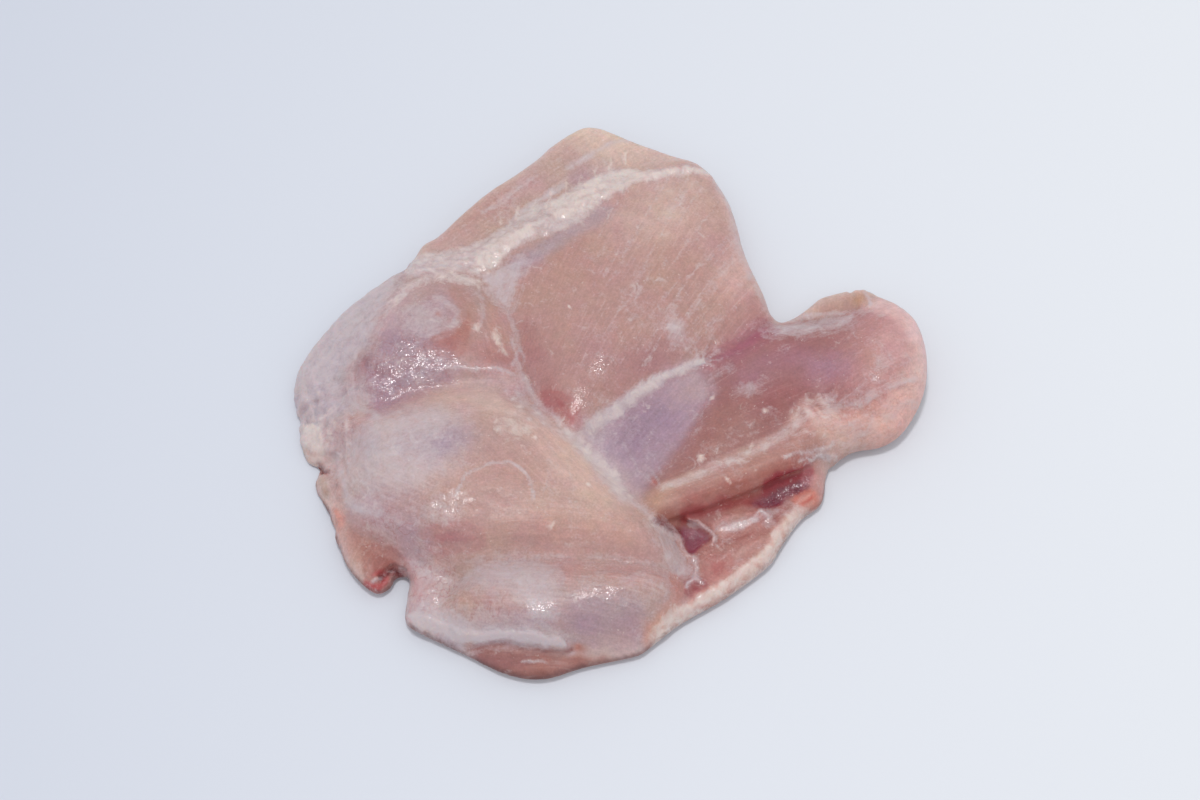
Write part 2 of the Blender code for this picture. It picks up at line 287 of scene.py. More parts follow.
HAND_X = X + 0.35 * cloud(6, 101) + 0.25 * cloud(1.8, 104, 2)
HAND_Y = Y + 0.35 * cloud(6, 107) + 0.25 * cloud(1.8, 110, 2)


# %% Distances over the grid


def near(line, reach):
    """The part of the grid within reach of a line, as a pair of slices."""
    low, high = line[:, :2].min(0) - reach, line[:, :2].max(0) + reach
    return tuple(slice(max(int((l - g[0]) / GRID), 0), int((h - g[0]) / GRID) + 2)
                 for l, h, g in zip(low, high, (grid_x, grid_y)))


def grid_distance(points, reach=FAR, closed=False, steps=6, by_hand=False):
    """Distance from a line over the grid, or depth inside a closed one, and the place along it."""
    line = smooth_line(points, closed, steps)
    part = near(line, reach)
    x, y = (HAND_X, HAND_Y) if by_hand else (X, Y)
    xy = np.stack([x[part].ravel(), y[part].ravel()], -1)
    values, place = depth(xy, line) if closed else distance(xy, line, False)
    away = np.full(X.shape, -reach if closed else reach)
    along = np.zeros(X.shape)
    length = np.hypot(*np.diff(line[:, :2], axis=0).T).sum() / len(line)
    away[part] = values.reshape(X[part].shape)
    along[part] = place.reshape(X[part].shape) * length
    return away, along, line, part


# %% [markdown]
# ## The height of each muscle
# A muscle swells from its outline to its crown. With the plain distance from the outline, a crease
# would run down its middle, as on a hipped roof. So each stretch of the outline counts by the inverse
# fourth power of its distance, which gives the same value near an edge and a smooth crown far from it.

# %% Height over the grid
SHEET = 3.5
RIDGE_BLEND = 1.5
RIDGE_DROP = 2.2
EXACT_BELOW = 1.5
SLOPE_OUTSIDE = 1.6
RIM_RISE = 1.9
RIM_FULLNESS = 0.42
RIM_CURVE = 0.05
RIM_BLEND = 3.0


def higher(a, b, blend):
    """The larger of two heights, with the crease between them rounded."""
    close = np.maximum(blend - np.abs(a - b), 0) / blend
    return np.maximum(a, b) + close * close * blend / 4


def shoulder(t):
    """A quarter round: steep at 0, level at 1."""
    return np.sqrt(1 - (1 - np.clip(t, 0, 1))**2)


def rounded_depth(inside, line, part):
    """Depth inside a muscle with a smooth crown."""
    run = np.hypot(*(np.roll(line, -1, 0) - np.roll(line, 1, 0)).T) / 2
    values = inside[part]
    deep = values > EXACT_BELOW
    x, y = X[part][deep], Y[part][deep]
    pull = np.zeros(len(x))
    for (px, py), length in zip(line, run):
        pull += length / ((x - px)**2 + (y - py)**2)**2
    soft = values.copy()
    soft[deep] = (pull / (np.pi / 2))**(-1 / 3)
    share = np.clip(values / EXACT_BELOW - 1, 0, 1)
    result = inside.copy()
    result[part] = values + (soft - values) * share
    return result


inside, along, swell = {}, {}, {}
height = np.full(X.shape, SHEET)
for name, (rim, crown, fullness, rounding, points) in MUSCLES.items():
    inside[name], along[name], line, part = grid_distance(points, closed=True, steps=12)
    soft = rounded_depth(inside[name], line, part)
    share = np.maximum(soft, 0) / soft.max()
    dome = (1 - (1 - share)**2)**fullness
    swell[name] = np.where(inside[name] > 0, rim + (crown - rim) * dome,
                           rim + SLOPE_OUTSIDE * inside[name])
    height = higher(height, swell[name], rounding)
from_ridge = {}
for name, (half_width, crest, points) in RIDGES.items():
    from_ridge[name] = grid_distance(points)[0]
    away = from_ridge[name] / half_width
    height = higher(height, np.where(away < 1.5, crest - RIDGE_DROP * away**2, 0), RIDGE_BLEND)

edge_depth, edge_place = depth(np.stack([X.ravel(), Y.ravel()], -1), outline)
edge_depth = edge_depth.reshape(X.shape)
rim_radii = np.append(outline[:, 2], outline[0, 2])
radius = np.interp(edge_place, np.arange(len(rim_radii)), rim_radii).reshape(X.shape)
within = np.maximum(edge_depth, 0)
rim_height = radius + (RIM_RISE + RIM_FULLNESS * radius) * np.sqrt(within) + RIM_CURVE * within**2
height = -higher(-height, -rim_height, RIM_BLEND)
under = 0.9 * radius * (1 - shoulder(within / radius))
print("highest point of the form", height[edge_depth > 0].max().round(2), "mm")

# %% [markdown]
# Where two muscles meet, the membranes bridge the crease between them, so it is never sharp. Averaging
# the heights over about a millimetre does the same, and the rim is spared, so that the size stays.

# %% Soften the creases
SOFT_REACH = 1.2


def blurred(field, reach):
    """A grid field averaged over its surroundings, three times over, which leaves no edges."""
    steps = max(round(reach / GRID), 1)
    width = 2 * steps + 1
    for axis in (0, 1, 0, 1, 0, 1):
        padded = np.pad(field, [(steps + 1, steps) if axis == a else (0, 0) for a in (0, 1)], mode="edge")
        total = np.cumsum(padded, axis)
        after = np.take(total, range(width, total.shape[axis]), axis)
        before = np.take(total, range(total.shape[axis] - width), axis)
        field = (after - before) / width
    return field


height += (blurred(height, SOFT_REACH) - height) * 0.9 * ease(edge_depth, 1.5, 4.5)

# %% [markdown]
# ## The meat as one fine mesh
# A real thigh is one slab of soft tissue, so it is one mesh. It starts as a circle whose corners are
# moved onto the outline, is filled and extruded, and the Remesh modifier divides it into even squares.
# Its roof and floor are then moved to the heights above, and a second remesh evens out the steep
# flanks. Sculpting by hand could give the same, but from named heights it can be changed and repeated.
# The flat side that it lies on needs few faces, so those are thinned in edit mode.

# %% Slab, remesh, form
SLAB = 12.0
SLAB_VOXEL = 0.8
FINE_VOXEL = 0.5
SMOOTHING_ROUNDS = 3
THINNEST = 0.8
UNDERSIDE_SHARE = 0.12
FLAT_BELOW = 0.35


def deselect():
    bpy.ops.object.select_all(action="DESELECT")


def apply_modifier(piece, kind, **settings):
    """Add a modifier and apply it at once."""
    modifier = piece.modifiers.new(kind.title(), kind)
    for name, value in settings.items():
        setattr(modifier, name, value)
    bpy.context.view_layer.objects.active = piece
    bpy.ops.object.modifier_apply(modifier=modifier.name)


def read_vectors(piece, name):
    """Three numbers for each of a piece's points: its place, "co", or where it faces, "normal"."""
    values = np.empty(len(piece.data.vertices) * 3)
    piece.data.vertices.foreach_get(name, values)
    return values.reshape(-1, 3)


def read_points(piece):
    """A piece's points in millimetres of the plan."""
    points = read_vectors(piece, "co") / MM
    points[:, :2] += MIDDLE
    return points


def write_points(piece, points):
    """Move a piece's points, given in millimetres of the plan."""
    moved = points.copy()
    moved[:, :2] -= MIDDLE
    piece.data.vertices.foreach_set("co", (moved * MM).ravel())
    piece.data.update()


def sample(field, points):
    """A grid field's value at each point, between the four squares round it."""
    x = np.clip((points[:, 0] - grid_x[0]) / GRID, 0, len(grid_x) - 1.001)
    y = np.clip((points[:, 1] - grid_y[0]) / GRID, 0, len(grid_y) - 1.001)
    i, j = x.astype(int), y.astype(int)
    s, t = x - i, y - j
    if field.ndim == 3:
        s, t = s[:, None], t[:, None]
    return ((field[i, j] * (1 - s) + field[i + 1, j] * s) * (1 - t)
            + (field[i, j + 1] * (1 - s) + field[i + 1, j + 1] * s) * t)


deselect()
bpy.ops.mesh.primitive_circle_add(vertices=len(outline), radius=LENGTH * MM / 2, fill_type="NGON")
meat = bpy.context.object
meat.name = "thigh_meat"
write_points(meat, np.column_stack([outline[:, :2], np.zeros(len(outline))]))
bpy.ops.object.mode_set(mode="EDIT")
bpy.ops.mesh.select_all(action="SELECT")
bpy.ops.mesh.extrude_region_move(TRANSFORM_OT_translate={"value": (0, 0, SLAB * MM)})
bpy.ops.mesh.select_all(action="SELECT")
bpy.ops.mesh.normals_make_consistent(inside=False)
bpy.ops.object.mode_set(mode="OBJECT")
apply_modifier(meat, "REMESH", mode="VOXEL", voxel_size=SLAB_VOXEL * MM)

points = read_points(meat)
floor_share = np.clip(points[:, 2] / SLAB, 0, 1)
low = sample(under, points)
points[:, 2] = low + floor_share * (np.maximum(sample(height, points), low + THINNEST) - low)
write_points(meat, points)
apply_modifier(meat, "REMESH", mode="VOXEL", voxel_size=FINE_VOXEL * MM)
apply_modifier(meat, "SMOOTH", factor=0.5, iterations=SMOOTHING_ROUNDS)
points = read_points(meat)
points[points[:, 2] < FLAT_BELOW, 2] = 0
write_points(meat, points)
print("the meat has", len(meat.data.polygons), "faces")

# %% Thin the flat side
INNER_FLAT = 3.0


def select_points(piece, chosen):
    """Select just these points and what they span, ready for edit mode."""
    mesh = piece.data
    chosen = np.asarray(chosen, bool)
    mesh.vertices.foreach_set("select", chosen)
    ends = np.empty(len(mesh.edges) * 2, int)
    mesh.edges.foreach_get("vertices", ends)
    mesh.edges.foreach_set("select", chosen[ends.reshape(-1, 2)].all(1))
    corners = np.empty(len(mesh.loops), int)
    mesh.loops.foreach_get("vertex_index", corners)
    starts = np.empty(len(mesh.polygons), int)
    mesh.polygons.foreach_get("loop_start", starts)
    mesh.polygons.foreach_set("select", np.logical_and.reduceat(chosen[corners], starts))


points = read_points(meat)
select_points(meat, (points[:, 2] == 0) & (sample(edge_depth, points) > INNER_FLAT))
bpy.ops.object.mode_set(mode="EDIT")
bpy.ops.mesh.decimate(ratio=UNDERSIDE_SHARE)
bpy.ops.object.mode_set(mode="OBJECT")
print("after thinning", sum(len(face.vertices) - 2 for face in meat.data.polygons), "triangles")

# %% [markdown]
# ## Which way the fibres run
# Muscle fibres run along each muscle, and in the fan they spread from the tendon. Two numbers at each
# point, across and along the fibres in millimetres, let a pattern follow them, whatever the muscle.

# %% Fibre coordinates
FIBRE_ANGLE = {"upper_strip": 38, "near_roll": -6, "right_lobe": 24, "roll": 21, "under": 4, "pocket": 38,
               "bone_bed": 52, "small_lobe": 62, "back_bumps": 80, "near_corner": 70, "right_end": 28}
FAN_POINT = (-53.0, -92.0)
FAN_RADIUS = 140.0

across = X.copy()
lengthwise = Y.copy()
topmost = np.argmax(np.stack([swell[name] for name in MUSCLES]), axis=0)
for index, name in enumerate(MUSCLES):
    here = topmost == index
    if name == "fan":
        x, y = X - FAN_POINT[0], Y - FAN_POINT[1]
        u, v = np.arctan2(x, y) * FAN_RADIUS, np.hypot(x, y)
    elif name in FIBRE_ANGLE:
        turn = math.radians(FIBRE_ANGLE[name])
        u, v = Y * math.cos(turn) - X * math.sin(turn), X * math.cos(turn) + Y * math.sin(turn)
    else:
        u, v = inside[name], along[name]
    across[here] = u[here]
    lengthwise[here] = v[here]


def fibres(width, length, seed):
    """Noise drawn out along the fibres, for streaks of a width and length in millimetres."""
    return noise(across / width, lengthwise / length, seed)


def wrinkles(slope, width, length, seed):
    """Noise drawn out at a slope over the plan, for folds and ripples that leave the fibres' way."""
    return noise((X + slope * Y) / width, (Y - slope * X) / length, seed)


# %% [markdown]
# ## Marks drawn on the plan
# Fat, tendons, folds and stains are areas, lines and spots with soft edges. Each is drawn once on the
# squared paper and fills several maps at a stroke: how much it is raised, how much pale membrane or
# fat lies there, how wet it is, and its colour. The maps could be painted by hand in Blender instead,
# but a drawn list can be read, changed and run again.

# %% Areas, lines and spots


def area(soft, *points):
    """1 inside a closed line, falling to 0 across its soft edge."""
    return ease(grid_distance(points, reach=soft + 1, closed=True, by_hand=True)[0], -soft / 2, soft / 2)


def line(half_width, *points, soft=0.0):
    """1 along a line, falling to 0 past its half width."""
    soft = soft or max(0.6, half_width)
    away = grid_distance(points, reach=half_width + soft + 2, by_hand=True)[0]
    return 1 - ease(away, half_width - soft / 2, half_width + soft / 2)


def spot(x, y, reach, stretch=1.0, turn=0):
    """A soft round or oval patch."""
    angle = math.radians(turn)
    u = (HAND_X - x) * math.cos(angle) + (HAND_Y - y) * math.sin(angle)
    v = (HAND_Y - y) * math.cos(angle) - (HAND_X - x) * math.sin(angle)
    return np.exp(-((u / stretch)**2 + v**2) / (reach / 1.4)**2)


# %% [markdown]
# ## The maps
# Raw thigh meat is a greyed pinkish tan, duller than one expects. Each muscle starts from its own
# tint, and a thin film and a little moisture lie everywhere. Colours are laid on as washes that noise
# makes patchy, as watercolour is.

# %% Tints of the muscles, and the maps that the marks fill
TINTS = {
    "fan": "#b38b84", "upper_strip": "#b99a91", "knee": "#b08f8d", "apron": "#ab9ca2", "round": "#b8958e",
    "near_roll": "#b49795", "under": "#95655e", "small_lobe": "#a8786e", "right_lobe": "#9c6a67",
    "right_end": "#b88785", "roll": "#a77870", "back_bumps": "#b48f84", "pocket": "#a5706a",
    "bone_bed": "#a88c98", "near_corner": "#bd9c9a",
}
TINT_BLEND = 1.6

tint = np.zeros(X.shape + (3,))
share = np.zeros(X.shape)
for name, colour in TINTS.items():
    weight = np.exp(np.clip((swell[name] - height) / TINT_BLEND, -12, 4))
    tint += weight[..., None] * srgb(colour)
    share += weight
tint /= np.maximum(share, 1e-9)[..., None]
patchy = 1 + 0.26 * cloud(4.5, 121) + 0.12 * cloud(1.3, 125, 2)

relief = 0.2 * cloud(12, 21) + 0.07 * cloud(3.5, 31) + 0.03 * fibres(1.4, 13, 51)
film = 0.12 + 0.12 * cloud(9, 133)
fat = np.zeros(X.shape)
wet = 0.15 + 0.03 * cloud(6, 135)
strands = 0.2 + 0.2 * cloud(9, 131)
veins = np.zeros(X.shape)


def wash(mask, colour, strength=1.0):
    """Lay a patchy colour over the plan where a mask is above 0."""
    cover = np.clip(mask * strength * patchy, 0, 1)[..., None]
    tint[:] += (srgb(colour) - tint) * cover


def mark(mask, raised=0.0, filmy=0.0, fatty=0.0, moist=0.0, stringy=0.0, veiny=0.0):
    """Fill the maps with one mark: raise the surface and make each quality at least so strong."""
    relief[:] += raised * mask
    amounts = (filmy, fatty, moist, stringy, veiny)
    for quality, amount in zip((film, fat, wet, strands, veins), amounts):
        quality[:] = np.maximum(quality, amount * mask)


# %% [markdown]
# ## The fan and its fat
# The rim is washed paler first: painted light, for the light that reaches it from all round. The fan
# is a broad flat muscle whose fibres spread from one point, and short pale fibres are scattered along
# those lines. Fat fills the furrow above it in soft lobes under a thin skin: noise raises it, and its
# paleness comes and goes.

# %% The rim, washed paler as painted light
# Painted light: the outer 4.5 mm of the rim are washed paler, as if lit from all round.
wash(ease(4.5 - within, 0, 4.5), "#dfc8c3", 0.55)

# %% The fan, a broad flat muscle
wash(spot(15, 47, 17, 1.2, 30), "#cdafa6", 0.85)
wash(spot(31, 30, 8, 1.7, 75), "#d3aba3", 0.7)
wash(area(10, (-20, 16), (-6, 12), (6, 12), (18, 12), (6, 2), (-6, -8), (-15, 3)), "#ac817e", 0.6)
wash(spot(11, 7, 5, 2.2, 35), "#a27272", 0.6)
wash(area(6, (24, 10), (32, 14), (38, 21), (35, 24), (30, 19), (25, 14)), "#b07d7d", 0.6)
wash(line(2.0, (-17.5, 16), (-15.5, 8), (-13, 2), (-10, -4), soft=4), "#a2706f", 0.6)
wash(area(3, (-12, -1), (-8.5, -2), (-5, -6.5), (-6, -9.5), (-8, -8), (-11, -3)), "#a4595a", 0.95)
wash(line(2.4, (-19, 32), (-14, 36), (-8, 40.5), (-3, 44), (1, 47), soft=4), "#ab98a2", 0.65)
mark(area(3, (-28, 30), (-22, 33), (-17, 34), (-17.5, 27), (-20, 20), (-24, 24)), filmy=0.75)
mark(line(1.5, (27, 57), (30, 50), (31.5, 42), (33, 34), (37, 25), soft=3), filmy=0.5)
mark(spot(16.5, 15, 4.2, 1.8, 110), filmy=0.7, stringy=1)
mark(line(0.6, (-28, 28), (-23, 24), (-20, 18), (-18, 10)), filmy=0.5)
fan_furrows = area(7, (19, 10), (24, 9), (33, 15), (38, 22), (33, 36), (24, 38), (19, 24))
mark(fan_furrows, stringy=0.8, moist=0.35)
mark(spot(16, 42, 13, 1.6, 60), stringy=0.8)
fan_lines = fan_furrows * fibres(1.1, 7, 71)
relief += 0.18 * fan_lines
film += 0.25 * fan_lines
relief += 0.05 * spot(16, 42, 15, 1.6, 60) * fibres(1.0, 16, 72)

PALE_FIBRES = 34
chance = np.random.default_rng(7)
for x, y, half in chance.uniform((2, 12, 2.5), (32, 52, 9), (PALE_FIBRES, 3)):
    step_x, step_y = half * (x - FAN_POINT[0]) / FAN_RADIUS, half * (y - FAN_POINT[1]) / FAN_RADIUS
    mark(line(0.15, (x - step_x, y - step_y), (x, y), (x + step_x, y + step_y), soft=0.7), raised=0.06,
         filmy=0.65, fatty=0.2)
mark(spot(-3.5, -2.5, 4, 1.3, 60), moist=1.0, filmy=0.2)
mark(spot(0.5, 5, 3.5, 1.3, 70), moist=1.0, filmy=0.2)
mark(spot(26, 8, 2.5, 2.2, 15), moist=0.9)

# %% The strip above it
wash(spot(2, 69, 9, 2.0, -20), "#d8bdb0", 0.9)
wash(spot(-30, 46, 6, 2.2, 42), "#b48c84", 0.5)
wash(spot(-5, 57, 3, 1.6, 20), "#a68591", 0.7)
wash(spot(-20, 52, 5, 2.2, 40), "#b99292", 0.5)
mark(line(0.9, (-7, 60), (-3, 63), (1, 66), (6, 68), soft=1.6), filmy=0.6)
mark(line(0.7, (-27, 47), (-21, 52), (-15, 57), soft=1.4), filmy=0.5, veiny=0.5)
mark(line(0.7, (-20, 46), (-15, 51), (-9, 55), soft=1.2), filmy=0.7)
mark(spot(-22, 50, 6, 2, 40), filmy=0.35, stringy=0.8, veiny=0.5)

# %% The fat strip between them
fat_strip = area(2.4, (-44, 30), (-36, 30.2), (-29, 30), (-25, 31), (-19.5, 36), (-14.5, 39.5), (-9, 42),
                 (-4, 45), (0, 49.5), (5, 52.5), (10, 55.5), (15, 57), (20, 57.5), (26, 57.5), (28, 59),
                 (20, 60), (15, 59.6), (10, 59.2), (5, 60.5), (0, 59), (-5, 55.5), (-10, 52.5),
                 (-15, 50.5), (-20, 46.5), (-26, 41), (-31, 38.5), (-37, 38), (-43, 36))
wash(fat_strip, "#c2aaa6", 0.6)
mark(fat_strip, raised=0.1, filmy=0.65, fatty=0.3, moist=0.45)
mark(fat_strip * area(5, (-31, 30), (-24, 31), (-15, 39), (-13, 44), (-20, 44), (-28, 38)), raised=0.2,
     fatty=0.62)
mark(fat_strip * area(4, (-14, 50), (-5, 56), (3, 61), (18, 61), (28, 60), (28, 57), (10, 54), (-8, 44)),
     fatty=0.68)
wash(area(4, (-44, 31), (-36, 31), (-30, 34), (-30, 38), (-38, 38), (-43, 36)), "#bd9f9e", 0.7)
relief += fat_strip * (0.26 * cloud(3.0, 41) + 0.22 * cloud(1.4, 45, 2))
for step in range(4):
    mark(line(0.4, (-43, 31 + step * 1.2), (-38, 31.5 + step * 1.9), (-33, 31.5 + step * 2.3),
              (-28, 30.5 + step * 2), soft=1.2), raised=0.25, fatty=0.45)
for step in range(9):
    x, y = -22 + 3.6 * step, 42 + 2.3 * step
    mark(line(0.3, (x, y), (x - 0.8, y + 2.4), (x - 0.4, y + 4.6), soft=0.9), raised=0.15, fatty=0.6)

# %% [markdown]
# ## The knee and the apron
# The shin was cut off at the knee, which leaves tendon ends as pale spots, dark clefts between small
# bundles, and wet bluish membrane. The apron beside it is little more than slack membrane, which
# gathers in fine folds along its edge, so its folds follow the distance from the rim.

# %% The knee, where the shin was cut off
wash(area(5, (-49, 14), (-48, 24), (-44, 27), (-40, 27), (-43, 18), (-45, 12)), "#c2a9ad", 0.65)
wash(area(5, (-46, 16), (-42, 21), (-35, 22), (-32, 18), (-36, 11), (-44, 11)), "#ae959d", 0.7)
wash(area(3, (-33.5, 25), (-30, 23), (-28, 17), (-28.5, 11), (-32, 8), (-31, 14), (-31, 20)),
     "#b08076", 0.8)
wash(area(3, (-26, 24), (-21, 18), (-19, 10), (-24, 7), (-26, 12)), "#b98d83", 0.6)
wash(area(3, (-38, 10), (-33, 13), (-30, 15), (-30, 11), (-32, 7), (-37, 8)), "#a4665f", 0.85)
wash(area(4, (-30, 10), (-20, 9), (-18, 5), (-27, 5)), "#ad7a74", 0.7)
wash(area(4, (-53, 6), (-50, 10), (-46, 13), (-41, 12), (-36, 9), (-32, 6), (-33, 3), (-40, 0),
          (-47, -3), (-52, 0)), "#a1828e", 0.85)
wash(line(1.2, (-52.5, 7), (-49, 4), (-46, 3), (-42, 5), soft=2.5), "#8f6069", 0.6)
wash(spot(-36.3, 17.2, 1.4), "#b1766f", 0.6)
mark(line(1.6, (-46, 22), (-44, 26), (-40, 28.5), (-33, 28.8), (-28, 27.5), soft=3), raised=0.3,
     filmy=0.55, fatty=0.5)
mark(area(5, (-45, 18), (-41, 22), (-35, 21), (-33, 15), (-38, 11), (-44, 12)), filmy=0.45)
mark(line(1.0, (-37, 22), (-33.5, 20), (-32, 17.5), (-33, 14.5), (-38, 12.5), soft=3), filmy=0.6)
mark(line(0.6, (-29, 26), (-27, 23.5), (-26.3, 19.5), (-26.8, 15), soft=2.2), raised=0.1, filmy=0.6)
mark(spot(-27.5, 14.5, 1.2, 1.6, 80), raised=0.15, fatty=0.85)
mark(spot(-22.8, 12.2, 1.5, 2.2, 115), raised=0.15, fatty=0.75)
mark(spot(-21, 8.8, 0.9, 2.2, 115), fatty=0.6)
mark(line(0.4, (-19.6, 13), (-18.6, 9), (-19, 5), soft=1.2), filmy=0.7)
mark(line(0.4, (-18.2, 12), (-17, 8), (-17.6, 4), soft=1.2), filmy=0.6)
knee_wet = area(4, (-53, 6), (-50, 10), (-46, 13), (-41, 12), (-37, 9), (-32, 6), (-32, 2.5), (-38, 0.5),
                (-43, -2), (-47, -4), (-52, 0))
mark(knee_wet, filmy=0.3, moist=0.9, veiny=0.6)
relief += 0.16 * knee_wet * (cloud(2.0, 81, 2) + wrinkles(-0.8, 3, 1.2, 82))

# %% The apron of membrane beside it
mark(area(4, (-72, 6), (-63, 20), (-53, 29), (-46, 31), (-47, 24), (-50, 14), (-55, 6), (-64, 1)),
     filmy=0.75)
mark(area(4, (-72, 2), (-66, 3), (-54, 3), (-50, -4), (-62, -12), (-70, -8)), filmy=0.65, stringy=0.9)
apron_lines = ease(inside["apron"], 0, 3) * np.sin(2 * np.pi * (within + 2.0 * cloud(7, 61)) / 2.6)
relief += 0.07 * apron_lines
film += 0.07 * apron_lines
wash(ease(inside["apron"], 0, 3) * ease(cloud(3.2, 62), 0.1, 0.9), "#a18d98", 0.75)
relief += 0.14 * ease(-X, 48, 54) * ease(Y, -14, -2) * wrinkles(0.4, 1.3, 6, 63)
relief += 0.12 * ease(-X, 46, 50) * ease(Y, 2, 8) * wrinkles(0.6, 5, 1.4, 64)
for points in (((-65, 8), (-60, 16), (-53, 24)), ((-60, 6), (-55, 14), (-50, 22)),
               ((-63, 3), (-57, 8), (-52, 15))):
    wash(line(1.0, *points, soft=3), "#a08c99", 0.5)
wash(line(0.8, (-66.5, -2), (-60, -0.5), (-54, 0.5), (-49, -1), soft=2), "#966f78", 0.6)
mark(line(0.6, (-66.5, -2), (-60, -0.8), (-54, 0)), raised=-0.35)
wash(area(3, (-60, -8), (-50, -9), (-48, -13), (-54, -14), (-60, -12)), "#b394a0", 0.5)
mark(line(0.9, (-62, -5), (-56, -4.5), (-50, -6), (-48, -9), soft=2), filmy=0.7, raised=0.15)
mark(area(2, (-67, -5), (-63, -5), (-60, -9), (-60, -13.5), (-64, -13.5), (-67, -10)), raised=0.2,
     filmy=0.8, fatty=0.55)
for x, low, high, lean in ((-65.5, -11, -3, 1.5), (-62, -13, -6, 2.5), (-60.3, -9, -3.5, 3.0),
                           (-56, -13, -5, 1.0)):
    middle = (low + high) / 2
    mark(line(0.5, (x, high), (x + 0.3 * lean, middle), (x + lean, low), soft=1.4), raised=0.4,
         filmy=0.7, fatty=0.3)
    # Painted shade: a darker line on the right of each fold, the side away from the light.
    wash(line(0.4, (x + 1.3, high), (x + 1.2 + 0.3 * lean, middle), (x + 1 + lean, low), soft=1.4),
         "#a87f82", 0.4)

# %% The crease between the knee and the round muscle
wash(area(4, (-32, 3), (-25, 3.5), (-19, 2.5), (-17, -1), (-21, -0.5), (-26, 1), (-31, 0.5)),
     "#c2a0a3", 0.7)
wash(area(3, (-50, -1), (-46, -2.5), (-40, 0), (-34, 2), (-38, -1), (-43, -4), (-48, -9), (-50, -7)),
     "#a5808c", 0.6)
mark(area(3, (-46, 1), (-38, 2.5), (-33, 4), (-34, 1.5), (-40, -1), (-45, -3)), moist=0.8, filmy=0.3)
mark(line(0.5, (-34, 4.2), (-29, 4.2), (-24, 4.6), (-20, 3.6), (-17, 2), soft=1.4), raised=0.1,
     filmy=0.65, moist=0.4)
mark(area(4, (-20, 0), (-16, 0), (-12, -5), (-7, -11), (-12, -11), (-16, -7)), filmy=0.55, veiny=0.3)
mark(line(0.9, (-18, 6), (-16.5, 2), (-14, -2), (-11, -5.5), (-8, -10), soft=2.4), raised=0.15,
     filmy=0.65, fatty=0.15)
for x, y in ((-19, -2.5), (-17, -5), (-14, -6), (-12.5, -9), (-9.5, -10), (-15.5, -9)):
    mark(spot(x, y, 0.8, 1.6, 50), filmy=0.8, fatty=0.5)

# %% [markdown]
# ## The round muscle and the near side
# The thickest muscle swells like a cushion under a membrane with a lavender bloom, striped where its
# fibres meet it. In front of it a roll, a thin flap and a small lobe are cut and torn, so their edges
# are ragged, and the gaps between them are darkened with painted shade.

# %% The round muscle, the thickest
wash(area(9, (-52, -12), (-40, -7), (-30, -8), (-30, -20), (-38, -27), (-52, -26)), "#c2b0b4", 0.65)
wash(spot(-36, -16, 6, 2.2, 5), "#a08896", 0.75)
wash(spot(-20, -26, 8, 1.5), "#b8938b", 0.6)
wash(spot(-4, -27, 9, 1.6, -45), "#caaa9e", 0.75)
wash(area(4, (-38, -3), (-30, 0), (-22, -1), (-15, -6), (-12, -11), (-20, -10), (-32, -6)),
     "#cbafa8", 0.8)
wash(area(3, (-37, -36), (-30, -35.7), (-25, -37.5), (-27, -39.5), (-34, -38.7)), "#ac6e70", 0.6)
wash(area(4, (-24, -37), (-10, -33), (4, -34), (8, -39), (-10, -39)), "#c5998f", 0.65)
wash(area(5, (-54, -28), (-44, -27), (-38, -32), (-38, -40), (-46, -36)), "#ad8f98", 0.6)
mark(area(9, (-62, -10), (-50, -9), (-40, -6), (-32, -8), (-33, -20), (-38, -28), (-52, -27),
          (-60, -20)), filmy=0.6)
mark(line(1.3, (-60, -12), (-57, -16), (-55.5, -22), (-53, -28), (-47, -31), soft=3), filmy=0.75,
     stringy=0.6)
mark(line(1.0, (-56, -14), (-53, -19), (-51, -26), (-47, -30), soft=3), filmy=0.6, fatty=0.2)
striations = area(6, (-57, -14), (-50, -11), (-44, -16), (-40, -24), (-38, -30), (-46, -32), (-55, -26))
stripes = striations * np.sin(2 * np.pi * (inside["round"] + 1.6 * cloud(5, 67)) / 1.7)
relief += 0.05 * stripes
film += 0.06 * stripes
mark(striations, stringy=0.5)
wash(area(8, (-13, -9), (-4, -12), (3, -20), (7, -28), (-4, -25), (-12, -17)), "#d8b9ac", 0.9)
mark(line(2.2, (-8, -10), (-4, -13), (0, -18), (3, -22), (5, -26), soft=4.5), raised=0.1, filmy=0.7,
     fatty=0.5)
mark(line(1.2, (2, -22), (6, -26), (11, -31), (14, -36), soft=3), raised=0.1, filmy=0.6, fatty=0.2)
mark(area(3.5, (-23, -9), (-18, -8.5), (-15, -13), (-17, -15.5), (-22, -14)), fatty=0.42, moist=0.4)
mark(line(2.5, (-46, -33), (-36, -34.5), (-24, -34.5), (-12, -34.5), soft=7), raised=1.0)
mark(line(0.28, (-31, -30), (-29, -25), (-25, -22.5), (-20, -21.5), (-17, -23), (-15, -26), (-14, -30),
          soft=0.8), raised=0.05, filmy=1.0, fatty=0.25)
mark(line(0.2, (-12, -30), (-11, -25), (-9, -21), soft=0.8), filmy=0.5)
mark(spot(-34.5, -32.5, 5, 2.0, 8), moist=1.0)
mark(spot(-34, -32, 6, 1.6, 8), filmy=0.5, veiny=0.6, stringy=0.6)
mark(spot(-45, -34, 5, 1.8, -20), filmy=0.4, veiny=0.9, moist=0.4)
mark(spot(-30, -37, 4, 1.8), moist=0.8)
relief += 0.17 * area(4, (-41, -30), (-25, -29), (-20, -35), (-38, -38)) * wrinkles(0, 1.8, 0.8, 87)

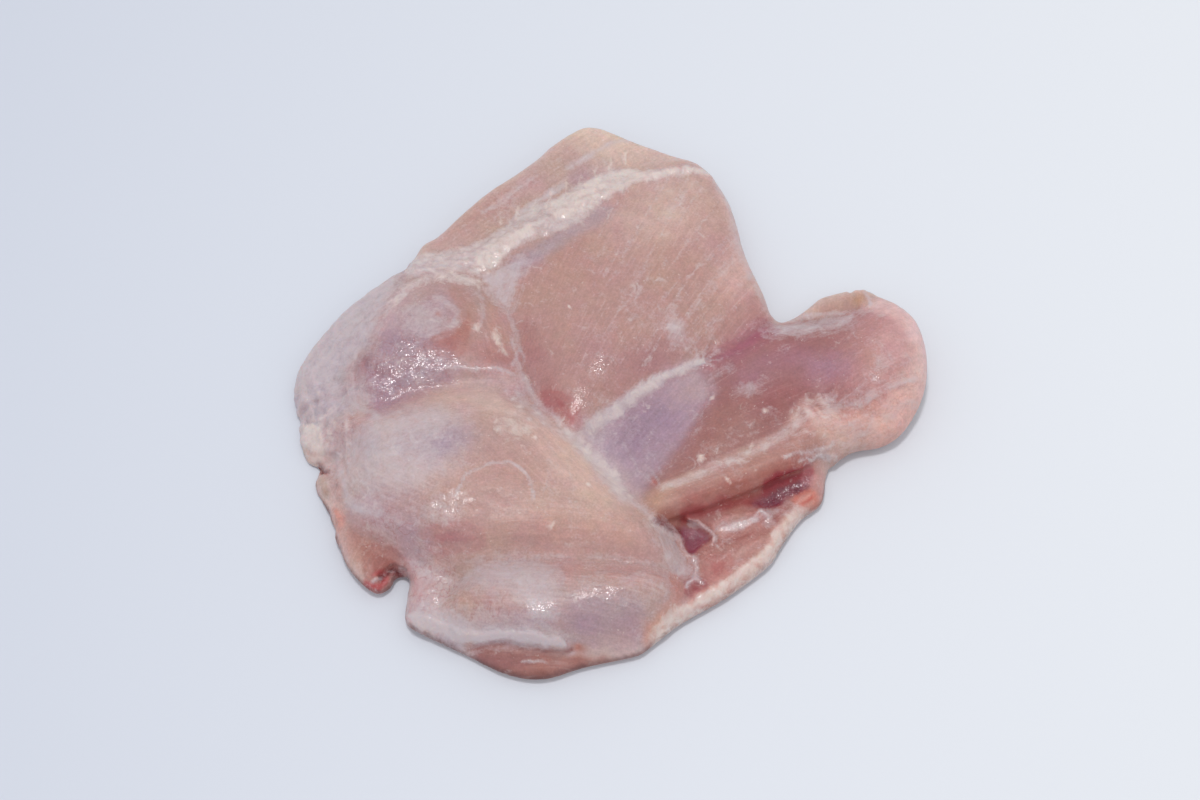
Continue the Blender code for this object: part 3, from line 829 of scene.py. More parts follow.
# %% The near roll, with its membranes
mark(line(1.5, (-34, -41), (-24, -41), (-8, -41), (6, -41.5), (14, -42), soft=3), raised=0.35)
wash(area(6, (-9, -42), (8, -41), (15, -46), (13, -50), (4, -50), (-6, -48)), "#b9908a", 0.75)
wash(area(4, (-31, -49), (-24, -50), (-16, -50), (-18, -54), (-28, -55.5)), "#bd978d", 0.7)
wash(area(4, (-17, -55), (-8, -54), (4, -52), (10, -55), (7, -58.5), (-12, -58)), "#a98b97", 0.7)
wash(area(4, (-6, -51), (2, -50), (8, -52), (2, -55), (-6, -54)), "#aa8f9a", 0.5)
mark(area(6, (-31, -46), (-26, -42), (-14, -41), (-9, -44), (-10, -52), (-22, -50)), filmy=0.72,
     stringy=0.5)
mark(spot(-14, -51.5, 4, 2.2), filmy=0.75)
mark(line(0.5, (-31, -44), (-25, -41.3), (-16, -40.3), (-8, -40.3), (4, -41), (12, -42), soft=2.2),
     filmy=0.45)
mark(spot(-12, -54.6, 2.4, 2.8), filmy=0.85, moist=1.0)
mark(spot(-9, -58, 1.6, 4, -3), filmy=0.5, moist=0.8)
near_ripples = area(4, (-4, -44), (10, -43), (15, -46), (13, -52), (4, -54), (-4, -52))
relief += 0.2 * near_ripples * wrinkles(0.34, 4, 1.1, 73)
mark(near_ripples, filmy=0.3, moist=1.0, stringy=0.7)
mark(spot(-24, -54, 4, 2.0, -5), veiny=0.9, filmy=0.4)
wash(line(1.3, (15.5, -44), (16, -48), (13.5, -53), (10, -56.5), soft=2.5), "#c08376", 0.7)
mark(line(0.7, (13.5, -42), (14, -47), (12, -52), (8, -57), soft=3), filmy=0.45)

# %% The near corner, the flap and the muscle under it
flap = area(0.5, (-41, -51), (-35, -53), (-29, -55.6), (-24, -56.8), (-14, -58), (-8, -58.6),
            (-6.6, -59.2), (-6.8, -59.9), (-9, -60.1), (-15, -59.7), (-22, -58.8), (-27, -58.2),
            (-38, -54.8))
mark(flap, raised=0.5, filmy=1.0, fatty=0.15, moist=0.5)
mark(area(4, (-41, -47), (-32, -50), (-26, -54.5), (-14, -56.5), (-10, -59), (-27, -59), (-41, -53)),
     filmy=0.7)
wash(area(3, (-41, -50), (-30, -53), (-12, -57), (-6, -60), (-27, -60), (-39, -55)), "#b3a1a8", 0.6)
wash(spot(-27.5, -58, 1.0, 1.6, 110), "#b07f72", 0.7)
wash(spot(-4, -60, 0.8, 2.5, -8), "#a96557", 0.6)
# Painted shadow: a dark line under the flap's lower edge.
wash(line(0.2, (-28, -58.8), (-22, -59.3), (-15, -60.2), (-8, -60.6), (-5.5, -60), soft=0.5),
     "#7f4a45", 0.7)
wash(area(1.2, (-27, -59), (-15, -60.5), (-8, -61), (4, -61.3), (-4, -63.5), (-12, -66), (-20, -65)),
     "#a1685f", 0.75)
# Painted shade on the muscle just under the flap; the next line darkens its lower rim.
wash(line(1.2, (-26, -61), (-20, -62.5), (-15, -62.5), soft=2), "#8c5c5c", 0.6)
wash(line(0.8, (-26, -62.3), (-19, -64.5), (-12, -65.3), (-4, -63)), "#7f5049", 0.6)
mark(line(0.3, (-16, -62.3), (-11, -62.8), soft=0.8), raised=0.1, filmy=0.75, moist=0.7)
mark(area(2, (-38, -56), (-10, -61), (6, -61), (-12, -67), (-30, -62)), stringy=0.7)
mark(area(4, (-43, -40), (-34, -40), (-30, -46), (-33, -52), (-42, -51)), filmy=0.5, veiny=1.0, moist=0.5)
relief += 0.18 * area(3, (-42, -38), (-30, -40), (-26, -50), (-36, -55), (-43, -52)) * cloud(2.2, 75)
wash(line(0.7, (-41, -41.5), (-39.5, -45), (-39, -48), (-40, -50), soft=1.8), "#b0615f", 0.6)
wash(spot(-37, -45, 2.2), "#bd8582", 0.5)
mark(spot(-38, -38, 3.5, 2.0, -20), moist=0.8, filmy=0.3)

# %% The small lobe and the torn edge
wash(area(2, (-50, -37.5), (-45, -38), (-42, -41), (-46, -45), (-49, -44.5)), "#9a5f57", 0.8)
# Painted shade: dark red in the notch between the small lobe and the near corner.
wash(line(0.5, (-47, -43.2), (-44.7, -41), (-42.5, -41.3), soft=0.7), "#5e2426", 0.95)
mark(line(0.6, (-47, -43.2), (-44.7, -40.8), (-42.3, -41.2), soft=0.9), raised=-0.9)
wash(line(0.5, (-50.5, -44.2), (-47.7, -45.2), (-46, -43), soft=0.7), "#b8484a", 0.8)
wash(line(0.3, (-48.5, -43), (-46, -41.5), soft=0.6), "#a83339", 0.7)
mark(line(0.3, (-48.6, -44.4), (-47.4, -43.4), soft=0.6), raised=0.3, filmy=0.9, moist=0.8)
mark(line(0.8, (-57, -33), (-55, -38), (-52, -42), soft=2), filmy=0.3)
wash(area(1.5, (-58.5, -26.5), (-57, -27), (-55, -30), (-56.5, -32)), "#c98c80", 0.8)
mark(line(0.6, (-57.5, -27), (-56.5, -29.5), (-55.5, -31)), raised=0.5)
# Painted shade: a dark line in the crack of the torn edge.
wash(line(0.7, (-61.8, -15), (-60.6, -16.8), (-59.6, -17.6)), "#763c38", 0.9)
mark(line(0.6, (-61.8, -15), (-60.3, -17)), raised=-0.5)
wash(area(1.5, (-62.5, -18), (-60.5, -18.5), (-59, -23), (-61, -23)), "#b39b8c", 0.7)

# %% [markdown]
# ## The bone bed and the right side
# The bone's sheath stayed behind as a smooth lavender bed, with a white tendon that splits at its end.
# To its right a dark lobe ends in a pale, shiny bulb, and in front of it a roll carries the longest
# tendon. Under the roll's lip the meat parts and shows its wet, deep red inside, edged with a little fat;
# the hollow and the lines under the lip are darkened further with painted shade.

# %% The bed where the bone lay, and its tendon
wash(area(7, (3, -6), (11, -1), (17, 1), (14, -9), (8, -15), (2, -12)), "#94788c", 0.55)
wash(area(6, (-5, -9), (2, -6), (3, -14), (9, -26), (4, -26), (-2, -17)), "#b8a3ab", 0.6)
wash(area(4, (14, 4), (21, 7.5), (25, 1), (20, -3), (15, -1)), "#b3969a", 0.85)
mark(area(5, (-6, -9), (0, -6), (0, -16), (4, -22), (0, -20)), filmy=0.5)
mark(line(0.3, (25, 1), (23, -4), (21.5, -9), (17.5, -15), (14, -20), soft=1.2), raised=0.05, filmy=0.45)
for points in (((9, -16), (12, -20), (13, -23)), ((12, -15), (13.5, -20)), ((8, -18), (11.5, -22)),
               ((5, -12), (8, -18))):
    mark(line(0.3, *points, soft=0.9), filmy=0.55)
wash(spot(11.6, -21.6, 1.0, 1.5, 100), "#b9605c", 0.8)
mark(line(1.6, (-2, -8), (4, -3.5), (9, 0.5), (13, 3.5), soft=2.6), raised=-0.1, filmy=0.85, fatty=0.25)
mark(line(0.9, (6, -1.5), (12, 3), (17, 5.5), (22.5, 8), soft=1.4), raised=-0.05, filmy=0.95, fatty=0.4)
for x, y in ((21, 12), (19, 11), (24, 11.5), (26.5, 10.5), (27.5, 8), (25.5, 6.5)):
    mark(line(0.25, (22.5, 8), (x, y), soft=0.7), raised=0.08, filmy=0.8)

# %% The right lobe and its rounded end
wash(area(5, (13, -23), (21, -10), (25, -3), (33, -5), (37, -12), (30, -18), (20, -21.5)), "#a0706a", 0.8)
wash(spot(41, -2, 6, 1.7, 20), "#965558", 0.7)
wash(area(4, (23, 8), (30, 12.5), (37, 18.5), (39, 15), (33, 9.5), (27, 6.5)), "#9d5c6a", 0.85)
wash(spot(43, 9, 6, 1.8, 10), "#a06d75", 0.5)
wash(spot(51, 5, 6, 1.6, 10), "#a67a8c", 0.75)
wash(spot(60, 5, 4, 1.2), "#b5877c", 0.5)
# The bulb's pale rim, washed paler still on its right flank as painted light.
wash(line(2.8, (62, 22), (68, 17), (71, 9), (70.5, 1), (66, -6), soft=4), "#e0bcb6", 0.85)
wash(spot(65, 8, 6, 1.5, 80), "#d3aba9", 0.7)
wash(area(5, (55, -7), (63, -5), (71, -2), (69, -8), (62, -12)), "#d3968d", 0.75)
# Painted light: the bulb's near flank is washed paler.
wash(line(3.0, (50, -10), (58, -9), (65, -5.5), (70, 0), soft=5), "#e0b4ab", 0.75)
wash(spot(35, 5, 6, 1.6, 20), "#a2758a", 0.55)
tendon_fan = area(2.5, (43, -4), (46, -2.5), (51, -3), (53, -7), (53.5, -12), (50, -12.5), (42, -8.5))
wash(tendon_fan * (0.75 + 0.5 * wrinkles(0.5, 0.8, 6, 96)), "#d6b7ad", 0.8)
mark(area(4, (38, 19), (42, 20), (50, 21.5), (58, 20.5), (56, 16), (48, 13.5), (42, 13), (37, 15)),
     filmy=0.7, veiny=0.4)
mark(spot(33, 0, 3.5, 2.0, 10), filmy=0.5, stringy=0.8)
mark(spot(27, 5, 3, 2.0, 30), filmy=0.45, stringy=0.7)
mark(spot(41, 11, 2, 3, 60), filmy=0.35)
mark(spot(62, 4, 4, 1.5, 80), filmy=0.4, moist=0.8)
mark(spot(51, 5, 5, 1.5), moist=0.8)
mark(spot(67, 4, 3, 3.0, 85), filmy=0.35, moist=0.7)
bulb_streaks = area(5, (50, -1), (60, 0), (70, 4), (71, -4), (64, -10), (54, -12), (48, -9))
bulb_lines = bulb_streaks * fibres(0.9, 12, 79)
relief += 0.2 * bulb_lines
mark(bulb_streaks, filmy=0.35, stringy=1.0, veiny=0.4)
film += 0.3 * bulb_lines
mark(area(4, (41, -5), (45, -2), (51, -3), (55, -7), (50, -11), (43, -10)), raised=0.1, filmy=0.3,
     stringy=1, fatty=0.2)
relief += 0.12 * area(4, (42, -5), (46, -2), (52, -3), (55, -7), (50, -10), (44, -8)) * fibres(1.0, 5, 77)
wash(spot(59, 25, 2, 1.5, 80), "#b98a6b", 0.6)
mark(line(0.5, (57.5, 29), (58.5, 26), (58, 22), soft=1.0), raised=-0.6)
mark(line(0.5, (60, 28), (61, 25), (60.5, 21)), raised=0.4, filmy=0.7)
mark(line(0.6, (43, 21), (48, 22), (55, 21.5)), raised=0.2, filmy=0.6)

# %% The roll and its tendon
wash(line(2.5, (12, -27), (21, -24), (30, -20.5), (38, -16), (46, -11), soft=4), "#b98e82", 0.5)
mark(line(1.3, (13, -24), (20, -21.8), (26, -19.2), (32, -16.2), (38, -12.8), (43, -8.5), soft=2.4),
     raised=-0.1, filmy=0.4, fatty=0.2)
wash(line(1.5, (14, -23.6), (20, -21.6), (26, -19), (32, -16), (38, -12.6), (43, -8.5), soft=2),
     "#c8aaa2", 0.8)
wash(spot(12, -27.5, 3.5, 1.5, 20), "#c09b8c", 0.6)
# Painted shade: the roll's lower flank under its lip is washed darker red-brown.
wash(line(1.5, (19, -27.6), (28, -24.8), (36, -21.6), (45, -17), soft=3), "#a3635a", 0.85)
wash(line(1.0, (13, -30.8), (17, -30.3), (20, -28.8), soft=1.8), "#94564c", 0.8)
mark(area(4, (14, -25), (30, -19), (42, -12), (50, -14), (36, -20), (18, -27)), stringy=0.6, moist=0.3)
mark(area(3, (42, -15), (47, -12.5), (52, -13.5), (48, -16.5), (43, -17.5)), filmy=0.35, stringy=1,
     moist=0.9)
for points in (((40, -17.5), (46, -15), (51, -12.5)), ((43, -17.6), (47, -15.8), (52, -14))):
    mark(line(0.25, *points, soft=0.8), raised=0.2, filmy=0.9, fatty=0.3, moist=0.8)

# %% The hollow under the roll, and the pocket
wash(area(3, (23, -37), (30, -34), (37, -31), (34, -38), (27, -44), (22, -45)), "#bd9086", 0.75)
wash(area(2, (21, -30), (28, -27.5), (34, -26), (33, -29), (26, -31)), "#a2635c", 0.8)
wash(area(2, (25, -31.5), (30, -29.5), (35, -28.5), (34, -31.5), (28, -33.5)), "#dab5b3", 0.9)
wash(area(2, (22, -37.5), (27, -34), (35, -30.5), (39, -27), (36, -32), (28, -36.5)), "#9a5650", 0.85)
pocket_folds = area(3, (23, -36), (30, -32), (38, -28), (37, -33), (28, -39))
relief += 0.14 * pocket_folds * wrinkles(0.8, 5, 1.1, 97)
wash(area(2, (23, -39), (28, -38.5), (27, -42), (24, -44)), "#aa615c", 0.7)
hollow = area(1.6, (33, -25.6), (37, -23), (44, -19), (46.5, -18.4), (45.4, -22), (42, -23.6),
              (39, -25.6), (35, -26.4))
pit = area(1.5, (17.6, -31.5), (21, -31.4), (23.2, -33.5), (21, -36), (19.3, -37.6), (18, -35))
# Painted shade: the lines under the lip, the hollow and the pit are washed deep red to maroon, darker than
# the meat for the shade that falls in them.
wash(line(0.8, (12, -31.8), (16, -32.4), (19, -32.2), soft=1.2), "#7d3a3a", 0.9)
wash(line(0.8, (18, -29.6), (25, -27.7), (30, -26.2), (35, -24.1), (40, -21.4), (46, -18.3), soft=1.1),
     "#93403f", 0.9)
wash(hollow, "#702036", 1.0)
wash(line(0.8, (36, -23.2), (41, -20.4), (46, -18.3)), "#8a2a33", 0.9)
wash(pit, "#83374a", 0.95)
mark(hollow, raised=-0.7, moist=0.9)
mark(pit, raised=-0.7, moist=0.6)
for crest, points in ((0.9, ((19.5, -30.3), (22, -31), (24, -32.6), (24.3, -34.2))),
                      (0.4, ((35, -27), (37, -29.5))),
                      (0.4, ((26, -31.6), (30, -30.3), (33, -29.2), (34.5, -27.5)))):
    mark(line(0.5, *points, soft=1.2), raised=crest, filmy=0.75, moist=1.0)
mark(area(2.5, (25, -31.5), (30, -29.5), (34, -28.5), (34, -30.5), (28, -32.5)), filmy=0.75, moist=1.0)
mark(area(3, (35, -27), (39, -26), (42, -26), (39, -29), (36, -31)), filmy=0.6, moist=0.6, veiny=0.5)
mark(area(3, (21, -33), (32, -30), (40, -27), (38, -32), (28, -38), (21, -40)), moist=0.55, stringy=0.6)
mark(area(4, (10, -31), (16, -33), (18.5, -37), (20.5, -42), (15, -44), (12, -37)), filmy=0.65,
     stringy=0.5, moist=0.4)
for points in (((14, -33), (16.5, -33.7), (18, -35.5), (19, -38)),
               ((20, -38), (20.5, -41), (19.5, -43.5))):
    mark(line(0.7, *points, soft=2.2), raised=0.4, filmy=0.75, moist=1.0)
wash(area(1, (18.6, -45), (19.5, -44.2), (21.4, -44), (21.8, -46), (21, -47.4), (19, -46.6)),
     "#94464a", 0.9)
mark(line(0.4, (18.2, -46), (18.6, -44.6), (20.3, -43.6), (21.8, -44.6), soft=0.9), raised=0.35,
     filmy=0.8, moist=1.0)
wash(area(2, (45, -18.5), (48, -17.5), (49, -20), (47.5, -23), (45, -22)), "#c2918d", 0.8)
wash(area(1.0, (42, -24.5), (45, -22.5), (47.5, -23), (47.5, -26), (43.5, -27.5)), "#cb9287", 0.9)
wash(line(0.5, (45.5, -22.8), (47.2, -24), (46.5, -26), (44, -27.3)), "#c4776a", 0.75)
wash(line(0.4, (42.3, -25), (43.5, -23.4), (45.4, -22.9), soft=0.6), "#bf6457", 0.7)
wash(line(0.3, (43.5, -25.8), (45, -25), (46.2, -24.2), soft=0.6), "#b44538", 0.8)
relief += 0.5 * spot(45, -24.5, 2.6) * (1 + cloud(1.6, 95, 2))

# %% The fat along the near edge
ragged = cloud(3.5, 11)
fat_width = ease(1.5 + 0.6 * ragged - from_ridge["fat_edge"], -1.2, 1.0)
fat_edge = fat_width * ease(X + 0.3 * Y, -10, -5) * ease(-Y, 24.5, 28)
wash(fat_edge, "#d3aea2", 0.8)
mark(fat_edge, filmy=0.35, fatty=0.62, moist=0.35)
relief += fat_edge * (0.2 * cloud(2.4, 47) + 0.12 * cloud(1.2, 49, 2))
wash(ease(1.6 - within, 0, 1.4) * ease(X, 8, 14) * ease(-Y, 22, 28), "#b98073", 0.6)

# %% Painted shadow, a dark line where the near rim meets the table, and the hollow kept bare of membrane
wash(ease(0.35 - within, 0, 0.35) * ease(-Y, 5, 25), "#5d3836", 0.6)
film *= 1 - 0.9 * np.clip(hollow + pit, 0, 1)

# %% Flecks of fat
for x, y, reach in ((-17, -17.5, 0.6), (-14.2, -14.5, 0.6), (-10, -35.2, 0.7), (-2.2, -25, 0.7),
                    (22, -17, 1.2), (27.4, -23.5, 0.8), (36.5, -5.5, 0.5), (13.5, -3.5, 0.5),
                    (10, -4, 0.4), (24.7, -0.8, 0.6), (-22.5, -13, 0.6), (-7, 20, 0.5), (3, 33, 0.4),
                    (-4, 26, 0.5), (33, -13.5, 0.5)):
    mark(spot(x, y, reach, 1.5, 31 * x), raised=0.25, fatty=0.9)
strands *= 1 - 0.7 * np.clip(fat_strip, 0, 1)
tint[..., 1] *= 1 + 0.012 * cloud(5.5, 151) + 0.009 * cloud(1.6, 153, 2)
tint[..., 2] *= 1 + 0.018 * cloud(7.0, 155)
for name, field in (("membrane", film), ("fat", fat), ("juice", wet)):
    print(name, "on", f"{(field[edge_depth > 0] > 0.5).mean():.0%}", "of the plan")

# %% [markdown]
# ## The side it lies on
# The hidden side is the one that the skin covered: smooth, even meat under a thin film, with pale
# patches where a little fat stayed on.

# %% The side it lies on
top_tint = tint
tint = np.zeros(X.shape + (3,)) + srgb("#b8928c")
wash(ease(cloud(22, 141), -0.1, 0.5), "#cdb9b3", 0.8)
wash(ease(cloud(16, 145), 0.2, 0.8), "#a67b7b", 0.7)
wash(ease(4 - within, 0, 4), "#c6aaa4", 0.5)
underside, tint = tint, top_tint

# %% [markdown]
# ## Folds and furrows
# Folds, lumps of fat and furrows are real shape, not only shading, so each point moves along its normal
# by the relief. The roll's lip hangs over the pocket: the low part of its flank is pushed in under it,
# which a map of heights can't do, because it has one height for each place.

# %% Move the mesh by its relief
SLACK = 1.6

points = read_points(meat)
normals = read_vectors(meat, "normal")
off_floor = ease(points[:, 2], 0.3, 2.0)
lift = sample(relief, points) * ease(normals[:, 2], -0.2, 0.5) * off_floor
torn = sample(area(3, (-72, 2), (-60, 0), (-56, -14), (-54, -30), (-60, -36), (-70, -16)), points)
lift += torn * off_floor * 0.45 * sample(cloud(1.7, 91, 2), points)
points += normals * lift[:, None]

roll_foot = sample(line(2.4, (14, -31), (22, -29.5), (30, -26.5), (37, -23.5), (44, -20), (50, -17.5),
                        soft=2.5), points)
low_part = ease(9.5 - points[:, 2], 0, 3) * off_floor
flank = np.clip(-normals[:, 1], 0, 1)
points[:, 1] += SLACK * roll_foot * low_part * flank
points[:, 0] -= 0.4 * SLACK * roll_foot * low_part * flank
points[:, 2] = np.where(points[:, 2] < 0.3, 0, points[:, 2])
write_points(meat, points)
print("relief from", relief[edge_depth > 0].min().round(2), "to", relief[edge_depth > 0].max().round(2),
      "mm")

# %% Write the maps on the mesh
TURNED_UNDER = 0.15


def store(piece, name, kind, values):
    """Keep a value for each point of a piece's mesh as an attribute."""
    attribute = piece.data.attributes.new(name, kind, "POINT")
    attribute.data.foreach_set({"FLOAT_COLOR": "color", "FLOAT_VECTOR": "vector"}.get(kind, "value"),
                               np.ascontiguousarray(values, dtype=np.float32).ravel())


points = read_points(meat)
below = ease(-read_vectors(meat, "normal")[:, 2:], TURNED_UNDER, 0.6)
painted = sample(tint, points) * (1 - below) + sample(underside, points) * below
opaque = np.ones(len(points))
store(meat, "tint", "FLOAT_COLOR", np.column_stack([linear(np.clip(painted, 0, 1)), opaque]))
store(meat, "fibre", "FLOAT_VECTOR", np.column_stack([sample(across, points), sample(lengthwise, points),
                                                      points[:, 2]]) * MM)
for name, field in (("film", film), ("fat", fat), ("wet", wet), ("strands", strands), ("veins", veins)):
    store(meat, name, "FLOAT", np.clip(sample(field, points), 0, 1) * (1 - 0.7 * below[:, 0]))

print("maps stored:",
      [attribute.name for attribute in meat.data.attributes if attribute.domain == "POINT"])

# %% [markdown]
# ## The finish of raw meat
# Raw muscle is wet protein gel: light enters it and spreads a millimetre or two, red further than
# blue, so it looks soft. Under a thin film of juice the surface is satin, and glossy only where the
# film is thick. Its grain is about half a millimetre, and pale strands of connective tissue run along
# the fibres. Membrane and fat lie over it in ragged patches: their maps say how much, and noise
# decides where, so that no edge is clean. The index of refraction is 1.4, for water and protein.

# %% Raw meat
GRAIN = 0.5
STRAND_WIDTH = 0.65
STRAND_LENGTH = 10.0
RIPPLE = 0.7
RAGGED = 0.7

raw_meat, tree, shader = new_material("raw_thigh_meat")
place = add_node(tree, "ShaderNodeTexCoord").outputs["Object"]
maps = {name: add_node(tree, "ShaderNodeAttribute", attribute_name=name)
        for name in ("tint", "fibre", "film", "fat", "wet", "strands", "veins")}


def amount(name):
    """A painted map as a number."""
    return maps[name].outputs["Fac"]


def math_node(operation, *values):
    """Numbers or sockets put together."""
    made = add_node(tree, "ShaderNodeMath", operation=operation)
    for socket, value in zip(made.inputs, values):
        if isinstance(value, (int, float)):
            socket.default_value = value
        else:
            tree.links.new(value, socket)
    return made.outputs[0]


def between(value, low, high, to_low=0.0, to_high=1.0):
    """A number moved from one range to another."""
    made = add_node(tree, "ShaderNodeMapRange", {"Value": value}, From_Min=low, From_Max=high,
                    To_Min=to_low, To_Max=to_high)
    return made.outputs["Result"]


def speckle(size, detail=3.0, roughness=0.55, distortion=0.0):
    """Noise with grains of a size in millimetres."""
    made = add_node(tree, "ShaderNodeTexNoise", {"Vector": place}, Scale=1 / (size * MM), Detail=detail,
                    Roughness=roughness, Distortion=distortion)
    return made.outputs["Fac"]


def streaks(width, length, detail=2.0):
    """Noise drawn out along the fibres, of a width and length in millimetres."""
    drawn_out = add_node(tree, "ShaderNodeMapping", {"Vector": maps["fibre"].outputs["Vector"]},
                         Scale=(1 / (width * MM), 1 / (length * MM), 1 / (length * MM)))
    return add_node(tree, "ShaderNodeTexNoise", {"Vector": drawn_out.outputs["Vector"]}, Scale=1.0,
                    Detail=detail, Roughness=0.6).outputs["Fac"]


def mixed(factor, first, second):
    """Two colours, sockets or fixed, mixed by a factor."""
    made = add_node(tree, "ShaderNodeMix", {"Factor": factor}, data_type="RGBA")
    colours = [socket for socket in made.inputs if socket.type == "RGBA"]
    for socket, value in zip(colours, (first, second)):
        if isinstance(value, tuple):
            socket.default_value = value
        else:
            tree.links.new(value, socket)
    return next(socket for socket in made.outputs if socket.type == "RGBA")


def plus_share(total, part, share):
    """A total and a share of one more part."""
    return math_node("ADD", total, math_node("MULTIPLY", part, share))


def ragged_cover(quantity, pattern, most):
    """Turn how much lies there into where it lies, with a pattern's ragged edges."""
    raised_by = between(pattern, 0.3, 0.7, -RAGGED / 2, RAGGED / 2)
    return between(math_node("ADD", quantity, raised_by), 0.2, 0.85, 0.0, most)


# %% Its colours
VEIN_RED = "#9c4347"
FILM_LAVENDER = "#c6b9bd"
STRAND_PALE = "#d6c5c1"
FAT_CREAM = "#dccdc6"
FLECK_PALE = "#e0d2cc"

strand = streaks(STRAND_WIDTH, STRAND_LENGTH)
grain = speckle(GRAIN)
mottle = speckle(1.8, 5.0, 0.7)
wisps = speckle(2.4, 6.0, 0.65, 0.6)
fleck = speckle(0.8, 1.0)
vein_line = math_node("ABSOLUTE", math_node("SUBTRACT", speckle(3.6, 3.0, 0.5, 0.4), 0.5))

value = math_node("MULTIPLY", between(mottle, 0.3, 0.7, 0.91, 1.09),
                  between(grain, 0.25, 0.75, 0.89, 1.11))
value = math_node("MULTIPLY", value, between(strand, 0.3, 0.7, 0.96, 1.04))
flesh = {"Color": maps["tint"].outputs["Color"], "Value": value}
colour = add_node(tree, "ShaderNodeHueSaturation", flesh).outputs["Color"]
red_vein = math_node("MULTIPLY", between(vein_line, 0.03, 0.0),
                     math_node("MULTIPLY", amount("veins"), 0.5))
colour = mixed(red_vein, colour, rgba(VEIN_RED))
film_pattern = plus_share(plus_share(math_node("MULTIPLY", wisps, 0.65), strand, 0.15), grain, 0.2)
colour = mixed(ragged_cover(amount("film"), film_pattern, 0.8), colour, rgba(FILM_LAVENDER))
pale_strand = math_node("MULTIPLY", between(strand, 0.56, 0.74),
                        math_node("MULTIPLY", amount("strands"), 0.2))
colour = mixed(pale_strand, colour, rgba(STRAND_PALE))
colour = mixed(ragged_cover(amount("fat"), wisps, 0.9), colour, rgba(FAT_CREAM))
colour = mixed(between(fleck, 0.74, 0.80, 0.0, 0.4), colour, rgba(FLECK_PALE))
tree.links.new(colour, shader.inputs["Base Color"])

# %% Its gloss and fine bumps
RIPPLE_HEIGHT = 0.2
DRY_RIPPLE = 0.06
DRY_ROUGHNESS = 0.46
WET_ROUGHNESS = 0.30
JUICE_ROUGHNESS = 0.09
PROTEIN_IOR = 1.4

ripple = plus_share(speckle(RIPPLE, 2.0), streaks(0.7, 2.5, 1.0), 0.5)
ripple = math_node("MULTIPLY", ripple, between(amount("wet"), 0.2, 1.0, DRY_RIPPLE, RIPPLE_HEIGHT))
bumps = math_node("MULTIPLY", grain, 0.05)
bumps = plus_share(bumps, strand, math_node("MULTIPLY", amount("strands"), 0.09))
bumps = plus_share(bumps, wisps, math_node("MULTIPLY", amount("film"), 0.25))
bumps = math_node("ADD", bumps, ripple)
flesh_bump = add_node(tree, "ShaderNodeBump", {"Height": bumps}, Distance=MM, Strength=1.0)
juice_bump = add_node(tree, "ShaderNodeBump", {"Height": ripple}, Distance=MM, Strength=1.0)
tree.links.new(flesh_bump.outputs["Normal"], shader.inputs["Normal"])
tree.links.new(juice_bump.outputs["Normal"], shader.inputs["Coat Normal"])
tree.links.new(between(amount("wet"), 0.1, 1.0, DRY_ROUGHNESS, WET_ROUGHNESS), shader.inputs["Roughness"])
tree.links.new(between(amount("wet"), 0.15, 0.9, 0.01, 1.0), shader.inputs["Coat Weight"])

shader.inputs["Coat Roughness"].default_value = JUICE_ROUGHNESS
shader.inputs["IOR"].default_value = PROTEIN_IOR
shader.inputs["Subsurface Weight"].default_value = 0.45
shader.inputs["Subsurface Radius"].default_value = (1.0, 0.45, 0.3)
shader.inputs["Subsurface Scale"].default_value = 0.0025

meat.data.materials.clear()
meat.data.materials.append(raw_meat)
deselect()
meat.select_set(True)
bpy.context.view_layer.objects.active = meat
bpy.ops.object.shade_smooth()

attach(meat, "root")
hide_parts(NODE)

# %% [markdown]
# ## Floor, light and camera
# The thigh lies on a pale, slightly blue table. One softbox hangs nearly overhead, so that the flat
# muscles don't mirror it and only the slopes and ripples that face the camera glisten. An even pale
# sky fills the shadows. The camera looks down at 62 degrees with a 70 mm lens.

# %% Floor
FLOOR_SIZE = 6.0
# Painted light: the table is darker to the left and paler to the right, for the light falling off across
# it.
TABLE_LEFT_SHADED = "#cbd0dc"
TABLE_RIGHT_LIT = "#e5e8ed"
SHADE_REACH = 0.16

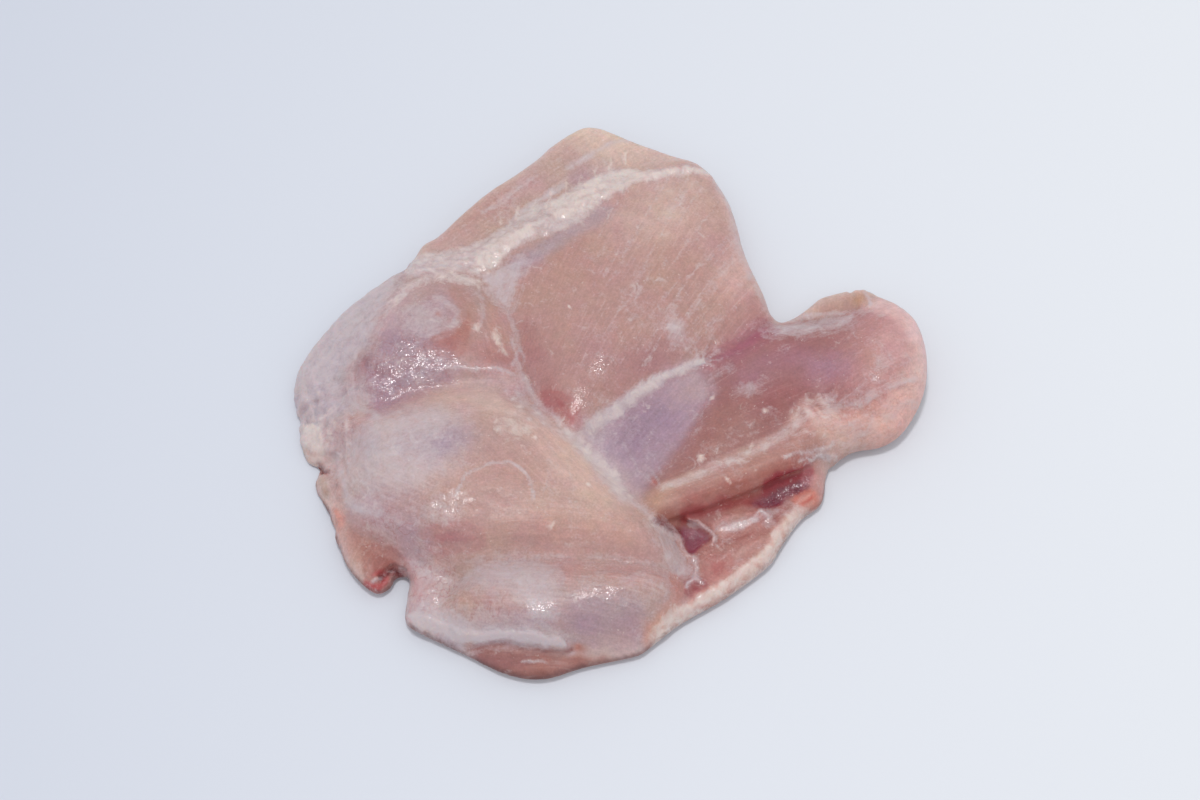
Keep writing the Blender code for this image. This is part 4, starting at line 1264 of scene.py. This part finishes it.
deselect()
bpy.ops.mesh.primitive_plane_add(size=FLOOR_SIZE, location=(0, 0, 0))
floor = bpy.context.object
floor.name = "floor"
floor_material, tree, shader = new_material("pale_table")
floor_place = add_node(tree, "ShaderNodeTexCoord").outputs["Object"]
sideways = add_node(tree, "ShaderNodeSeparateXYZ", {"Vector": floor_place}).outputs["X"]
left_to_right = add_node(tree, "ShaderNodeMapRange", {"Value": sideways}, From_Min=-SHADE_REACH,
                         From_Max=SHADE_REACH)
shade = add_node(tree, "ShaderNodeValToRGB", {"Fac": left_to_right.outputs["Result"]})
shade.color_ramp.elements[0].color = rgba(TABLE_LEFT_SHADED)
shade.color_ramp.elements[1].color = rgba(TABLE_RIGHT_LIT)
tree.links.new(shade.outputs["Color"], shader.inputs["Base Color"])
shader.inputs["Roughness"].default_value = 0.6
floor.data.materials.append(floor_material)

# %% Light
SKY_COLOUR = (0.97, 0.98, 1.0, 1)
SKY_STRENGTH = 0.76
SOFTBOX_PLACE = (-0.05, 0.0, 0.9)
SOFTBOX_SIZE = 0.11
SOFTBOX_POWER = 2.6

world = bpy.data.worlds.new("studio")
bpy.context.scene.world = world
world.use_nodes = True
world.node_tree.nodes["Background"].inputs["Color"].default_value = SKY_COLOUR
world.node_tree.nodes["Background"].inputs["Strength"].default_value = SKY_STRENGTH

lamp = bpy.data.lights.new("overhead_softbox", "AREA")
lamp.size = SOFTBOX_SIZE
lamp.energy = SOFTBOX_POWER
softbox = bpy.data.objects.new("overhead_softbox", lamp)
softbox.location = SOFTBOX_PLACE
x, y, z = SOFTBOX_PLACE
softbox.rotation_euler = (math.atan2(math.hypot(x, y), z), 0, math.atan2(y, x) + math.pi / 2)
bpy.context.scene.collection.objects.link(softbox)
print("softbox", round(z / MM), "mm above the table")

# %% Camera
CAMERA_LENS = 70.0
CAMERA_HEIGHT = 62.0
CAMERA_DISTANCE = 520.0
AIM = np.array([-MIDDLE[0], -MIDDLE[1], 5.0])

rise = math.radians(CAMERA_HEIGHT)
eye = AIM + CAMERA_DISTANCE * np.array([0, -math.cos(rise), math.sin(rise)])
camera_data = bpy.data.cameras.new("camera")
camera_data.lens = CAMERA_LENS
camera_data.sensor_width = 36.0
camera = bpy.data.objects.new("camera", camera_data)
camera.location = eye * MM
camera.rotation_euler = (math.pi / 2 - rise, 0, 0)
bpy.context.scene.collection.objects.link(camera)
bpy.context.scene.camera = camera
bpy.context.scene.view_settings.view_transform = "Standard"
